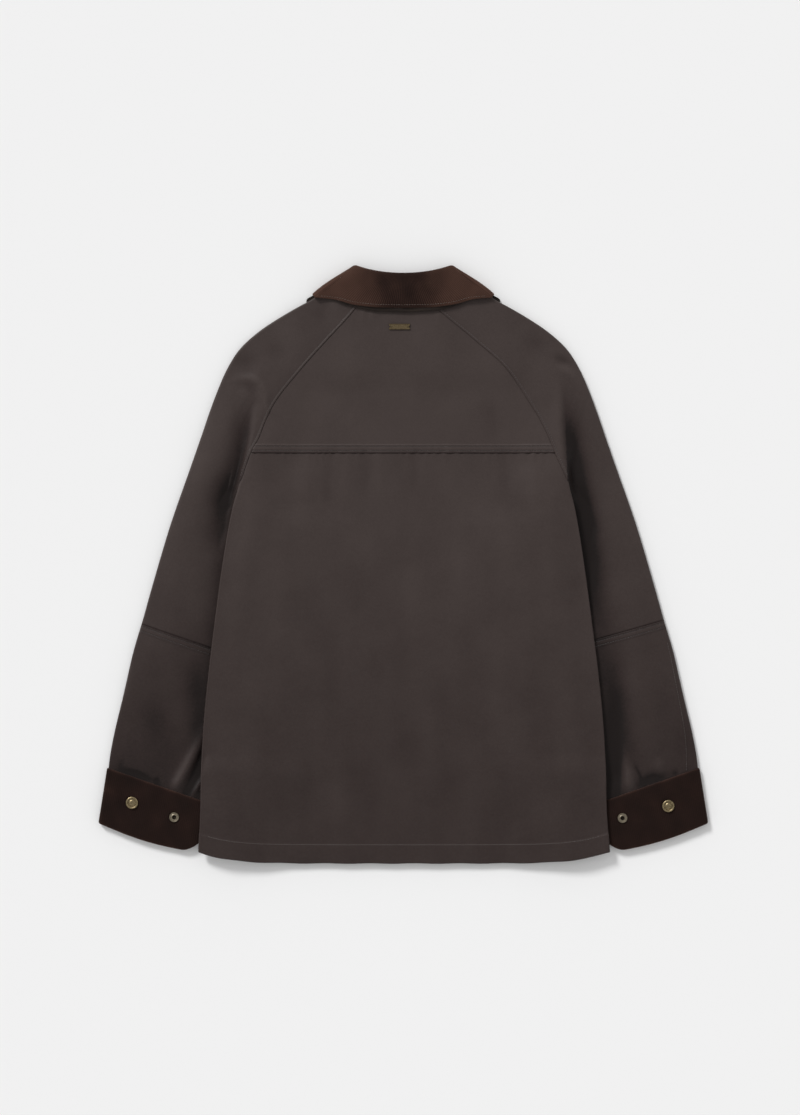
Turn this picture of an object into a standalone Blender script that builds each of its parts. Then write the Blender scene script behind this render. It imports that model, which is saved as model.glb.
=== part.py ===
"""A waxed cotton jacket lying face down, with its back up and its sleeves partly under the body.

Every piece that is cut and sewn on is its own object. Sizes are in millimetres and become metres when a
mesh is made. X runs across the jacket, Y from hem to collar, and Z up from the surface that it lies on.
Each panel is a grid of points on the middle of the cloth, which Solidify turns into a wall.
"""
import math

import bpy
from mathutils import Vector

MM = 0.001

# Cloth
WALL = 1.2            # waxed cotton
CUFF_WALL = 2.0       # corduroy cuff, turned back
CORD_WALL = 1.3       # corduroy side of the collar
UNDER_WALL = 1.0      # waxed cotton side of the collar
SEAM_GAP = 0.34
TURN_GAP = 0.4         # more room at each edge where a seam turns into a fold
FOLD_GAP = 0.6         # where two layers meet edge to edge on a fold
LOFT = 3.5            # hollow between the back and the front layers
NECK_LOFT_LOSS = 0.7   # less of it at the neck and shoulders
CENTRE_LOFT_GAIN = 0.4  # and more over the lap in front
SLEEVE_LOFT_UNDER_BODY = 0.8
CUFF_LOFT = 3.9

# Lengths across and along the jacket
YOKE_Y = 142
UNDERARM_Y = 107
SLEEVE_FREE_Y = 66     # below this the sleeve lies under the body
HEM_Y = -380
HEM_CORNER_RISE = 15
HALF_HEM = 260
BACK_NECK_Y = 335
FRONT_NECK_Y = 284
FRONT_NECK_SIDE_Y = 326
FRONT_NECK_FROM_Y = 230    # from here up the fronts' lines sag into the neckline
FRONT_NECK_SAG = 11
FRONT_LINE_DROP = 14       # how much lower each line meets the front edge than the one above it
NECK_RAISE_FROM = {"y": 215, "over_y": 35, "x": 168, "over_x": 40}
CENTRE = {"x": 120, "over": 60}
YOKE_CURVE = {"half": 60, "y": 300}    # where the back neckline dips
HALF_LAP = 20          # how far each front passes the centre
LAP_START, LAP_TOP = 48, 25     # where the fronts start to rise to the lap, and are up
RAMP = 65              # width over which the body comes down to the surface
HEM_CURVE_Y, HEM_CURVE_OVER = -280, 85      # where the lines across the body start to sink to the hem
UNDERARM_EASE = 35     # length over which the sleeve's loft eases below the underarm
UNDER_BODY_FROM, UNDER_BODY_OVER = 8, 60    # width over which it rises again outside the body
TUCK_FROM, TUCK_OVER = 3, 28                # length over which the sleeve narrows into the cuff

# Heights
NECK_RAISE = 3.0       # the fronts lie on the collar's front leaves
LAP_RAISE = 1.4        # the right front's lap lies on its snap caps
LEFT_LAP_RAISE = 1.7   # and the left front's lap on the right one
CUFF_TUCK_RAISE = 2.3  # the sleeve's end lies inside the cuff
CUFF_TUCK_LOFT = 0.9
COLLAR_MIDDLE_Z = 6.4
STAND_HALF = 1.6
FALL_HALF = 4.9


def smooth(t):
    """0 below 0, 1 above 1, and an S curve between."""
    t = min(1.0, max(0.0, t))
    return t * t * (3 - 2 * t)


def mix(a, b, t):
    return a + (b - a) * t


class Table:
    """Rows of named numbers, read as smooth curves of the first column."""

    def __init__(self, names, *rows):
        rows = sorted(rows)
        self.keys = [row[0] for row in rows]
        self.columns = {name: [row[i] for row in rows] for i, name in enumerate(names.split())}

    def slope(self, values, i):
        if i == 0 or i == len(values) - 1:
            j = min(max(i, 1), len(values) - 1)
            return (values[j] - values[j - 1]) / (self.keys[j] - self.keys[j - 1])
        before = (values[i] - values[i - 1]) / (self.keys[i] - self.keys[i - 1])
        after = (values[i + 1] - values[i]) / (self.keys[i + 1] - self.keys[i])
        return 0.0 if before * after <= 0 else 2 * before * after / (before + after)

    def at(self, name, key):
        keys, values = self.keys, self.columns[name]
        if key <= keys[0]:
            return values[0]
        if key >= keys[-1]:
            return values[-1]
        i = max(k for k in range(len(keys) - 1) if keys[k] <= key)
        step = keys[i + 1] - keys[i]
        t = (key - keys[i]) / step
        a, b = self.slope(values, i) * step, self.slope(values, i + 1) * step
        rise = values[i + 1] - values[i]
        return values[i] + a * t + (3 * rise - 2 * a - b) * t * t + (a + b - 2 * rise) * t ** 3


# The sleeve's outer edge, from the neck to the cuff: half width at each height
OUTER = Table("y x", (352, 84), (330, 129), (300, 179), (285, 200), (272, 210), (259, 219.5), (234, 231),
              (208, 241.5), (157, 259), (107, 276.5), (56, 294.5), (5, 310), (-77, 333), (-122, 344),
              (-173, 355.5), (-223, 367.5), (-259, 373.5))

# The body's side: the raglan seam down to the underarm, then the fold that lies over the sleeve.
# lift is how far the body stands off the surface there, and plateau how far in it stays so high.
SIDE = Table("y left right lift plateau",
             (338, 53, 31, 0, 4), (322, 64.5, 47.5, 0, 4), (284, 99, 93, 0, 4), (250, 129.5, 131, 0, 4),
             (205, 165, 162, 1.6, 5), (183, 176, 175.5, 3.4, 6), (161, 184.5, 186, 5.2, 6),
             (142, 194.5, 193.5, 6.6, 6), (107, 206.5, 208.5, 8.3, 6), (92, 211, 212.5, 8.3, 10),
             (77, 215.5, 216.5, 8.3, 16), (43, 222.5, 223, 7.8, 56), (-23, 233, 233, 6, 90),
             (-80, 240.5, 240.5, 4.8, 93), (-134, 247, 247.5, 4.6, 88), (-200, 253.5, 254, 4.6, 76),
             (-240, 256, 256.5, 5.6, 62), (-268, 257, 257.5, 8.4, 46), (-302, 257.5, 258, 8.4, 20),
             (-365, 260, 262, 8.4, 16))

# Above the underarm, the line where the cloth starts to drop to the sleeve, and how wide the drop is
RIDGE = Table("y left right drop", (107, 206.5, 208.5, 8), (142, 195.5, 207.5, 13), (183, 187, 206.5, 24),
              (240, 188, 205, 40))

# Where each line across a sleeve starts and ends: on the raglan seam, then on the fold under the body
HEAD = Table("seam_y outer_y", (338, 352), (322, 337), (300, 318), (275, 300), (250, 282), (225, 258),
             (205, 230), (183, 208), (161, 185), (142, 164), (125, 146), (107, 128))
ARM = Table("fold_y fold_x outer_y", (92, 0, 113), (79, 0, 98), (66, 0, 84), (54, 211, 73), (40, 195, 62),
            (10, 166, 43), (-23, 152, 24), (-80, 155, -28), (-134, 168, -77), (-200, 187, -140),
            (-259, 214, -203), (-302, 254, -259))
ARM_ROWS = (92, 79, 66, 54, 40, 10, -23, -80)
FOREARM_ROWS = (-200, -259, -281, -302)
ELBOW = {"left": (-134, -77), "right": (-120, -72)}     # where the elbow seam ends: fold_y, outer_y
CUFF_END = {"outer": (375.2, -270), "inner": (254.5, -313)}

# Corners of a cuff laid flat, and the shape of its lower edge
CUFF = {"top_outer": (376.8, -260), "top_inner": (250.5, -304),
        "low_outer": (384.8, -327), "low_inner": (261, -366)}
CUFF_BULGE = 5
CUFF_CORNER = 30
CUFF_CORNER_RISE = 20
CUFF_ROWS = (0, 0.35, 0.7, 1)

FRONT_COLUMNS = 3
YOKE_ROWS = (338, 322, 300, 275, 250, 225, 205, 183, 161, YOKE_Y)
BACK_ROWS = (YOKE_Y, 125, UNDERARM_Y, 92, SLEEVE_FREE_Y, 43, 10, -23, -80, -134, -200, -240, -268, -302,
             -335, -365)
FRONT_ROWS = (322, 300, 275, 250, 225, 205, 183, 161) + BACK_ROWS

# The collar in plan, from its side fold (t = 0) to the centre (t = 1), for the back and the front half.
# neck is where it is sewn on, roll where it folds over, and edge its free edge.
COLLAR_BACK = Table("t neck_x neck_y roll_x roll_y edge_x edge_y",
                    (0, 82, 355.5, 64, 374.5, 111.5, 338.5), (0.25, 62, 349, 46, 372, 90, 336.5),
                    (0.5, 42, 343.5, 31, 369, 62, 327.5), (0.75, 21, 340, 15, 367, 31, 322),
                    (1, 0, 338, 0, 366.5, 0, 321))
COLLAR_FRONT = Table("t neck_x neck_y roll_x roll_y edge_x edge_y",
                     (0, 82, 355.5, 64, 374.5, 111.5, 338.5), (0.25, 67, 340, 54, 353, 121, 332),
                     (0.5, 50, 320.5, 40, 331, 119, 308), (0.75, 27, 302.5, 22, 312, 101, 280),
                     (1, 3, 291, 4, 299, 82, 258))
COLLAR_STEPS = 4
COLLAR_TURN = 4
ROLL_STEPS = 4
STAND_PLACES = (0, 0.55)
FALL_PLACES = (0.5, 1)

CAP = {"radius": 7.8, "height": 1.8, "front_height": 1.1}
SOCKET = {"radius": 6.3, "hole": 2.4, "height": 1.3, "lip": 0.8}
PLATE = {"width": 27, "height": 7, "thick": 1.2, "x": -4.8, "y": 301.6, "notch": 1.6, "notch_half": 0.6}

# Outlines of the turned pieces, as shares of their radius and height
CAP_PROFILE = ((0, 0.8), (0.62, 0.75), (0.72, 1), (0.92, 0.85), (1, 0.4), (0.96, 0), (0, 0))
SOCKET_OUTSIDE = ((0.75, 1), (1, 0.5), (0.96, 0))
REST_GAP = 0.3

# Places of the snaps on the cuffs and on the hidden front lap
CUFF_CAP_AT = {"left": (344.8, -303.4), "right": (336.7, -307.5)}
CUFF_SOCKET_AT = {"left": (291.2, -321.7), "right": (278.5, -322.7)}
FRONT_CAP_TOP_Y = 225
FRONT_CAP_PITCH = 125
FRONT_CAPS = 5

WAXED = ((0.048, 0.037, 0.034), 0.5, 0.0)
CORDUROY = ((0.024, 0.011, 0.008), 0.85, 0.0)
UNDER_COLLAR = ((0.02, 0.012, 0.009), 0.6, 0.0)
BRASS = ((0.3, 0.24, 0.15), 0.35, 1.0)

SIGN = {"left": -1, "right": 1}


# Materials, meshes and objects

def material(name, look):
    colour, roughness, metallic = look
    made = bpy.data.materials.new(name)
    made.use_nodes = True
    shader = made.node_tree.nodes["Principled BSDF"]
    shader.inputs["Base Color"].default_value = (*colour, 1)
    shader.inputs["Roughness"].default_value = roughness
    shader.inputs["Metallic"].default_value = metallic
    return made


def put(name, mesh, look):
    mesh.materials.append(material(name, look))
    made = bpy.data.objects.new(name, mesh)
    COLLECTION.objects.link(made)
    return made


def shell(name, rows, wall, look, ring=False, even_wall=True):
    """An open sheet through rows of points, thickened. A ring joins each row's last point to its first."""
    count = len(rows[0])
    points = [point * MM for row in rows for point in row]
    across = count if ring else count - 1
    faces = []
    for i in range(len(rows) - 1):
        for j in range(across):
            k = (j + 1) % count
            faces.append((i * count + j, i * count + k, (i + 1) * count + k, (i + 1) * count + j))
    mesh = bpy.data.meshes.new(name)
    mesh.from_pydata(points, [], faces)
    mesh.shade_smooth()
    made = put(name, mesh, look)
    thicken = made.modifiers.new("wall", "SOLIDIFY")
    thicken.thickness = wall * MM
    thicken.offset = 0
    thicken.use_even_offset = even_wall
    return made


# Heights of the cloth

def ridge_x(side, y):
    return RIDGE.at(side, y) if y > UNDERARM_Y else SIDE.at(side, y)


def raised(side, x, y, height):
    """How high the cloth is lifted at a point: level inside the ridge, then down on both sides of it."""
    inset = ridge_x(side, y) - abs(x)
    if inset < 0:
        return height * (1 - smooth(-inset / RIDGE.at("drop", y)))
    return height * (1 - smooth((inset - SIDE.at("plateau", y)) / RAMP))


def at_neck(x, y):
    near = NECK_RAISE_FROM
    return smooth((y - near["y"]) / near["over_y"]) * smooth((near["x"] - abs(x)) / near["over_x"])


def body_heights(x, y):
    """Middle of the front layer and of the back layer, anywhere on the body."""
    side = "left" if x < 0 else "right"
    neck = at_neck(x, y)
    front = WALL / 2 + raised(side, x, y, SIDE.at("lift", y)) + NECK_RAISE * neck
    centre = smooth((CENTRE["x"] - abs(x)) / CENTRE["over"])
    loft = LOFT - NECK_LOFT_LOSS * neck + CENTRE_LOFT_GAIN * centre * (1 - neck)
    return front, front + WALL + loft


def lap_heights(side):
    """The fronts' own heights: each rises towards the centre, where the right laps over the left."""
    def heights(x, y):
        front, back = body_heights(x, y)
        centre = smooth((LAP_START - abs(x)) / (LAP_START - LAP_TOP))
        front += LAP_RAISE * centre * (1 - at_neck(x, y))
        if side == "left":
            front += LEFT_LAP_RAISE * centre
        return front, back
    return heights


def above_cuff(x, y):
    """Distance of a point above the line of the cuff's top edge."""
    (ax, ay), (bx, by) = CUFF["top_outer"], CUFF["top_inner"]
    length = math.hypot(bx - ax, by - ay)
    return ((y - ay) * (ax - bx) - (abs(x) - ax) * (ay - by)) / length


def sleeve_heights(side):
    def heights(x, y):
        height = SIDE.at("lift", max(y, UNDERARM_Y))
        height *= smooth((y - SLEEVE_FREE_Y) / (UNDERARM_Y - SLEEVE_FREE_Y)) if y < UNDERARM_Y else 1
        inset = SIDE.at(side, y) - abs(x)
        if y < UNDERARM_Y and inset > 0:
            front = WALL / 2 + height
        else:
            front = WALL / 2 + raised(side, x, y, height)
        neck = at_neck(x, y)
        loft = LOFT - NECK_LOFT_LOSS * neck
        below = smooth((UNDERARM_Y - y) / UNDERARM_EASE)
        outside = smooth((-inset - UNDER_BODY_FROM) / UNDER_BODY_OVER)
        loft = mix(loft, mix(SLEEVE_LOFT_UNDER_BODY, LOFT, outside), below)
        tuck = 1 - smooth((above_cuff(x, y) - TUCK_FROM) / TUCK_OVER)
        front += NECK_RAISE * neck + CUFF_TUCK_RAISE * tuck
        loft = mix(loft, CUFF_TUCK_LOFT, tuck)
        return front, front + WALL + loft
    return heights


def cuff_heights(x, y):
    return CUFF_WALL / 2, CUFF_WALL * 1.5 + CUFF_LOFT


# Lines of points across the jacket

def end_profile(radius, fold, ring):
    """Points from a layer's edge to where it is level, as distance in and share of the full height."""
    first = 0 if ring else math.asin(FOLD_GAP / 2 / radius)
    second = math.radians(30) if ring else first + math.radians(14)
    angles = (first, second, (second + math.pi / 2) / 2, math.pi / 2)
    edge = mix(SEAM_GAP / 2, 0, fold) + TURN_GAP * 4 * fold * (1 - fold)
    return [(edge + radius * mix(i / 3, 1 - math.cos(angle), fold), mix(1, math.sin(angle), fold))
            for i, angle in enumerate(angles)]


def even(count):
    return [(i + 1) / (count + 1) for i in range(count)]


def line_across(start, end, layer, heights, folds, places_between, wall=WALL, ring=False):
    """One layer of the cloth from start to end, seen from above. layer is 1 for the back and -1 for the
    front. folds says how far each end turns down, as a fold, instead of ending level at a seam.
    places_between are shares of the way across."""
    start, end = Vector(start), Vector(end)
    along = (end - start).normalized()
    start = start + along * wall / 2 * folds[0]
    end = end - along * wall / 2 * folds[1]
    width = (end - start).length
    places = []
    for k, (place, step) in enumerate(((start, 1), (end, -1))):
        low, high = heights(place.x, place.y)
        profile = end_profile((high - low) / 2, folds[k], ring)
        places.append([(distance if step > 0 else width - distance, share) for distance, share in profile])
    first, last = places[0][-1][0], places[1][-1][0]
    inner = [(mix(first, last, share), 1) for share in places_between]
    points = []
    for distance, share in places[0] + inner + places[1][::-1]:
        place = start + along * distance
        low, high = heights(place.x, place.y)
        middle, half = (low + high) / 2, (high - low) / 2
        points.append(Vector((place.x, place.y, middle + layer * half * share)))
    return points


def hem_drop(x, y):
    """How far a line across the body sinks at x below its ends."""
    curve = HEM_CORNER_RISE * (1 - (min(abs(x), HALF_HEM) / HALF_HEM) ** 6)
    return curve * smooth((HEM_CURVE_Y - y) / HEM_CURVE_OVER)


def trimmed(rows, top, bottom):
    """Rows with half a seam's gap taken off where another panel meets them."""
    rows = list(rows)
    if top:
        rows[0] -= SEAM_GAP / 2
    if bottom:
        rows[-1] += SEAM_GAP / 2
    return rows


def folded_at(y):
    return smooth((UNDERARM_Y + 8 - y) / 16)


# Body

def back_rows(rows, count):
    points = []
    for y in rows:
        fold = folded_at(y)
        start, end = (-SIDE.at("left", y), y), (SIDE.at("right", y), y)
        line = line_across(start, end, 1, body_heights, (fold, fold), even(count))
        for point in line:
            point.y -= hem_drop(point.x, y)
        points.append(line)
    return points


def back_yoke():
    rows = back_rows(trimmed(YOKE_ROWS, False, True), 6)
    for row, y in zip(rows, YOKE_ROWS):
        for point in row:
            middle = 1 - min(abs(point.x) / YOKE_CURVE["half"], 1) ** 2
            near_neck = smooth((y - YOKE_CURVE["y"]) / (YOKE_ROWS[0] - YOKE_CURVE["y"]))
            point.y -= (YOKE_ROWS[0] - BACK_NECK_Y) * middle * near_neck
    shell("back_yoke", rows, WALL, WAXED)


def back_panel():
    shell("back_panel", back_rows(trimmed(BACK_ROWS, True, False), 10), WALL, WAXED)


def front_seam(side, y):
    """Place on the raglan seam in front, whose upper end is lower than at the back."""
    y = y if y < 300 else mix(300, FRONT_NECK_SIDE_Y, (y - 300) / (YOKE_ROWS[0] - 300))
    return SIDE.at("left" if y > 250 else side, y), y


def front(side):
    """A front, from its raglan seam and side fold to its edge just past the centre."""
    lap = -SIGN[side] * HALF_LAP
    rows = []
    for number, y in enumerate((YOKE_ROWS[0],) + FRONT_ROWS):
        seam_x, seam_y = front_seam(side, y)
        centre_y = min(y, FRONT_NECK_Y - FRONT_LINE_DROP * number)
        start = (SIGN[side] * seam_x, seam_y)
        fold = folded_at(y)
        width = seam_x + HALF_LAP
        rise = [max(least, 1 - (HALF_LAP + x) / width) for x, least in ((LAP_START, 0.4), (LAP_TOP, 0.65))]
        places = [share * rise[0] for share in even(FRONT_COLUMNS)] + rise
        line = line_across(start, (lap, centre_y), -1, lap_heights(side), (fold, 0), places)
        near_neck = smooth((y - FRONT_NECK_FROM_Y) / (YOKE_ROWS[0] - FRONT_NECK_FROM_Y))
        for point in line:
            t = (start[0] - point.x) / (start[0] - lap)
            point.y -= hem_drop(point.x, y) + FRONT_NECK_SAG * near_neck * math.sin(math.pi * min(1, t))
        rows.append(line)
    shell("front_" + side, rows, WALL, WAXED)


# Sleeves

def head_lines(side, front_half):
    for seam_y in YOKE_ROWS + (125, UNDERARM_Y):
        outer_y = HEAD.at("outer_y", seam_y)
        inner = front_seam(side, seam_y) if front_half else (SIDE.at(side, seam_y), seam_y)
        yield (OUTER.at("x", outer_y), outer_y), inner, folded_at(seam_y)


def arm_line(side, y):
    outer_y = ARM.at("outer_y", y)
    x = SIDE.at(side, y) + SEAM_GAP if y >= SLEEVE_FREE_Y else ARM.at("fold_x", y)
    return (OUTER.at("x", outer_y), outer_y), (x, y), folded_at(y)


def elbow_line(side, shift):
    fold_y, outer_y = ELBOW[side]
    return (OUTER.at("x", outer_y + shift), outer_y + shift), (ARM.at("fold_x", fold_y), fold_y + shift), 1


def sleeve_panel(name, side, layer, lines, count):
    rows = []
    for (outer_x, outer_y), (inner_x, inner_y), fold in lines:
        start, end = (SIGN[side] * outer_x, outer_y), (SIGN[side] * inner_x, inner_y)
        rows.append(line_across(start, end, layer, sleeve_heights(side), (1, fold), even(count)))
    shell(name, rows, WALL, WAXED)


def sleeve(side):
    for half, layer in (("back", 1), ("front", -1)):
        upper = list(head_lines(side, layer < 0))
        upper += [arm_line(side, y) for y in ARM_ROWS]
        upper.append(elbow_line(side, SEAM_GAP / 2))
        sleeve_panel(f"sleeve_{half}_upper_{side}", side, layer, upper, 5)
        lower = [elbow_line(side, -SEAM_GAP / 2)]
        lower += [arm_line(side, y) for y in FOREARM_ROWS]
        lower.append((CUFF_END["outer"], CUFF_END["inner"], 1))
        sleeve_panel(f"sleeve_{half}_lower_{side}", side, layer, lower, 5)


def cuff_edge(t, width):
    """How far the cuff's lower edge stands out from a straight line at t across it."""
    past = max(0, 1 - (1 - t) * width / CUFF_CORNER)
    return CUFF_BULGE * math.sin(math.pi * t) - CUFF_CORNER_RISE * past ** 2


def cuff(side):
    sign = SIGN[side]
    corner = {name: Vector((sign * x, y)) for name, (x, y) in CUFF.items()}
    rows = []
    for down in CUFF_ROWS:
        start = corner["top_outer"].lerp(corner["low_outer"], down)
        end = corner["top_inner"].lerp(corner["low_inner"], down)
        halves = [line_across(start, end, layer, cuff_heights, (1, 1), even(4), CUFF_WALL, True)
                  for layer in (1, -1)]
        row = halves[0] + halves[1][-2:0:-1]
        width = (end - start).length
        down_arm = Vector((-(end - start).y, (end - start).x, 0)).normalized() * sign
        for point in row:
            t = min(1, (point.xy - start).length / width)
            point += down_arm * cuff_edge(t, width) * down ** 2
        rows.append(row)
    shell("cuff_" + side, rows, CUFF_WALL, CORDUROY, ring=True)


# Collar

def collar_lines():
    """Places round the neck, from the left front end to the right one: the three points in plan, and the
    direction in which the collar's layers stand off its middle surface."""
    lines = []
    for sign in (-1, 1):
        half = [(COLLAR_FRONT, 1 - i / COLLAR_STEPS, 180) for i in range(COLLAR_STEPS)]
        half += [(COLLAR_BACK, 0, 180 * (1 - i / COLLAR_TURN)) for i in range(COLLAR_TURN)]
        half += [(COLLAR_BACK, i / COLLAR_STEPS, 0) for i in range(COLLAR_STEPS)]
        half = [(sign, *place) for place in half]
        lines += half if sign < 0 else [(1, COLLAR_BACK, 1, 0)] + half[::-1]
    return lines


def collar_row(sign, table, t, turn, out):
    """Points of one cloth of the collar at one place: up the stand, round the roll and down the fall.
    out is how far the cloth lies towards the corduroy side of the collar's middle surface."""
    neck, roll, edge = (Vector((sign * table.at(part + "_x", t), table.at(part + "_y", t), COLLAR_MIDDLE_Z))
                        for part in ("neck", "roll", "edge"))
    rolls = {part: Vector((sign * COLLAR_BACK.at(part + "_x", 0), COLLAR_BACK.at(part + "_y", 0), 0))
             for part in ("neck", "roll", "edge")}
    angle = math.radians(turn)
    normals = []
    for a, b in (("neck", "roll"), ("roll", "edge")):
        crease = (rolls[b] - rolls[a]).normalized()
        outward = Vector((-crease.y, crease.x, 0))
        outward = outward if outward.x * sign > 0 else -outward
        normals.append(outward * math.sin(angle) + Vector((0, 0, math.cos(angle))))
    stand, fall = normals
    radius = (FALL_HALF - STAND_HALF) / 2
    middle = (FALL_HALF + STAND_HALF) / 2
    up = ((roll - neck).normalized() + (roll - edge).normalized()).normalized()
    row = [neck.lerp(roll, share) + stand * (STAND_HALF - out) for share in STAND_PLACES]
    for step in range(ROLL_STEPS + 1):
        bend = math.pi * step / ROLL_STEPS
        normal = stand.lerp(fall, step / ROLL_STEPS).normalized()
        height = middle - math.cos(bend) * (radius + out)
        row.append(roll + normal * height + up * math.sin(bend) * (radius + out))
    return row + [roll.lerp(edge, share) + fall * (FALL_HALF + out) for share in FALL_PLACES]


def collar():
    gap = REST_GAP / 2
    for name, wall, out, look in (("collar_top", CORD_WALL, CORD_WALL / 2 + gap, CORDUROY),
                                  ("collar_under", UNDER_WALL, -UNDER_WALL / 2 - gap, UNDER_COLLAR)):
        shell(name, [collar_row(*place, out) for place in collar_lines()], wall, look, even_wall=False)


# Metal pieces

def turned(name, profile, closed=False):
    """A turned piece: a profile of radius and height, swept round the Z axis."""
    mesh = bpy.data.meshes.new(name)
    edges = [(i, i + 1) for i in range(len(profile) - 1)]
    if closed:
        edges.append((len(profile) - 1, 0))
    mesh.from_pydata([(r * MM, 0, z * MM) for r, z in profile], edges, [])
    made = put(name, mesh, BRASS)
    sweep = made.modifiers.new("turn", "SCREW")
    sweep.axis = "Z"
    sweep.steps = sweep.render_steps = 20
    sweep.use_merge_vertices = True
    sweep.merge_threshold = 0.00001
    sweep.use_smooth_shade = True
    return made


def cap(name, x, y, z, down=False):
    height = CAP["front_height"] if down else CAP["height"]
    made = turned(name, [(CAP["radius"] * r, height * h) for r, h in CAP_PROFILE])
    made.location = (x * MM, y * MM, z * MM)
    if down:
        made.rotation_euler.x = math.pi


def socket(name, x, y, z):
    hole, height = SOCKET["hole"], SOCKET["height"]
    outside = [(SOCKET["radius"] * r, height * h) for r, h in SOCKET_OUTSIDE]
    profile = [(hole, height / 2), (hole + SOCKET["lip"], height), *outside, (hole, 0)]
    made = turned(name, profile, closed=True)
    made.location = (x * MM, y * MM, z * MM)


def nameplate():
    w, h, deep, half = PLATE["width"] / 2, PLATE["height"] / 2, PLATE["notch"], PLATE["notch_half"]
    outline = [(-w, -h), (w, -h), (w - deep, -half), (w - deep, half), (w, h), (-w, h), (deep - w, half),
               (deep - w, -half)]
    curve = bpy.data.curves.new("nameplate", "CURVE")
    curve.dimensions = "2D"
    curve.fill_mode = "BOTH"
    curve.extrude = PLATE["thick"] / 2 * MM
    spline = curve.splines.new("POLY")
    spline.points.add(len(outline) - 1)
    for point, (x, y) in zip(spline.points, outline):
        point.co = (x * MM, y * MM, 0, 1)
    spline.use_cyclic_u = True
    plate = bpy.data.objects.new("nameplate", curve)
    curve.materials.append(material("nameplate", BRASS))
    COLLECTION.objects.link(plate)
    top = body_heights(PLATE["x"], PLATE["y"])[1] + WALL / 2
    plate.location = (PLATE["x"] * MM, PLATE["y"] * MM, (top + REST_GAP + PLATE["thick"] / 2) * MM)


def hardware():
    cuff_top = cuff_heights(0, 0)[1] + CUFF_WALL / 2
    for side, sign in SIGN.items():
        x, y = CUFF_CAP_AT[side]
        cap("cuff_cap_" + side, sign * x, y, cuff_top + REST_GAP)
        x, y = CUFF_SOCKET_AT[side]
        socket("cuff_socket_" + side, sign * x, y, cuff_top + REST_GAP)
    for number in range(FRONT_CAPS):
        y = FRONT_CAP_TOP_Y - FRONT_CAP_PITCH * number
        cap(f"front_cap_{number + 1}", 0, y, LAP_RAISE - REST_GAP, down=True)
    nameplate()


for old in list(bpy.data.objects):
    bpy.data.objects.remove(old, do_unlink=True)
COLLECTION = bpy.data.collections.new("waxed_cotton_jacket")
bpy.context.scene.collection.children.link(COLLECTION)

back_yoke()
back_panel()
for each_side in SIGN:
    front(each_side)
    sleeve(each_side)
    cuff(each_side)
collar()
hardware()
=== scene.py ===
"""Looks of the waxed cotton jacket that lies face down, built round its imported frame.

Lengths are in millimetres and in the frame's own axes: X across the jacket, Y from hem to collar and Z up
from the surface that it lies on. They become metres when a mesh is made. Each panel is a fine grid of
points on the middle of its cloth, which shell() gives a wall with rounded edges.
"""
import math

import bpy
import numpy as np
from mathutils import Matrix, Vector
from mathutils.bvhtree import BVHTree


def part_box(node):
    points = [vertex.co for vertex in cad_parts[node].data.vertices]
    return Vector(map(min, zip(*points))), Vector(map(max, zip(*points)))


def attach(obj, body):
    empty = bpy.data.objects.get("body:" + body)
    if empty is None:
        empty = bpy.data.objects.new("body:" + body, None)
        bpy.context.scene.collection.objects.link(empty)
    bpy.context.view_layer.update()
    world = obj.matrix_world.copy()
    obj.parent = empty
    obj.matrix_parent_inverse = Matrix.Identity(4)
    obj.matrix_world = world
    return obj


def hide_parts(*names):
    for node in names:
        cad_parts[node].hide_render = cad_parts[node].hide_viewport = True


MM = 0.001
GRID = 2.8             # distance between points on a panel that shows
UNDER_GRID = 6.0       # and on one that lies underneath

# Cloth
WALL = 1.2             # waxed cotton
HEM_WALL = 2.1         # where it is turned up
CUFF_WALL = 2.0
CORD_WALL = 1.3
UNDER_WALL = 1.0
LOFT = 3.5             # hollow between the back and the front layers
NECK_LOFT_LOSS = 0.7
CENTRE_LOFT_GAIN = 0.4
SLEEVE_LOFT_UNDER_BODY = 0.8
CUFF_LOFT = 3.9
SLEEVE_PUFF = 3.4      # how much a sleeve swells between its edges

# Lengths across and along the jacket
YOKE_Y = 142
UNDERARM_Y = 107
SLEEVE_FREE_Y = 66     # below this the sleeve lies under the body
HEM_Y = -380
HEM_CORNER_RISE = 15
HALF_HEM = 260
HEM_DEPTH = 23
BACK_NECK_Y = 335
FRONT_NECK_Y = 284
FRONT_NECK_SIDE_Y = 326
NECK_TOP_Y = 338
FRONT_NECK_SAG = 11
LOWER_ARM_WIDER = 2.2      # how far the outer edge lies past its table below the elbow
HALF_LAP = 20
LAP_START, LAP_TOP = 48, 25
RAMP = 65
BACK_RAMP = 130        # the back comes down more gently than the fronts

# Heights
NECK_RAISE = 3.0
LAP_RAISE = 1.4
LEFT_LAP_RAISE = 1.7
CUFF_TUCK_RAISE = 2.3
CUFF_TUCK_LOFT = 0.9
COLLAR_MIDDLE_Z = 6.4
STAND_HALF = 1.6
FALL_HALF = 4.9
REST_GAP = 0.3
EDGE_SLOPE = 1.5       # how far the back eases down to its side folds
BELOW_YOKE_SINK = 0.9  # how far the back panel sinks under the yoke
PRESSED_DEPTH = 0.5    # how far the snaps press into the cuffs

# Seams: how high the upper cloth laps over the other one, and where its rows of stitches lie
LAP_RISE = 0.75
LAP_SINK = 0.7
GROOVE_DEPTH = 0.45
GROOVE_REACH = 0.8
UNDERARM_TUCK = 5          # how far the sleeve reaches in under the body below the underarm
RAGLAN_STITCH = 2.3
DOUBLE_STITCH = (2.1, 7.6)
ELBOW_STITCHES = (2, 95)    # where its rows start and end, from the sleeve's outer edge
STITCH = {"pitch": 3.3, "length": 2.5, "radius": 0.27}

WALE = 2.4             # from one rib of the corduroy to the next
WALE_HEIGHT = 0.5
CUFF_RIB = 0.5         # share of it that is left on the cuffs, whose ribs are worn flat
WALE_STEPS = 5

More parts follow.
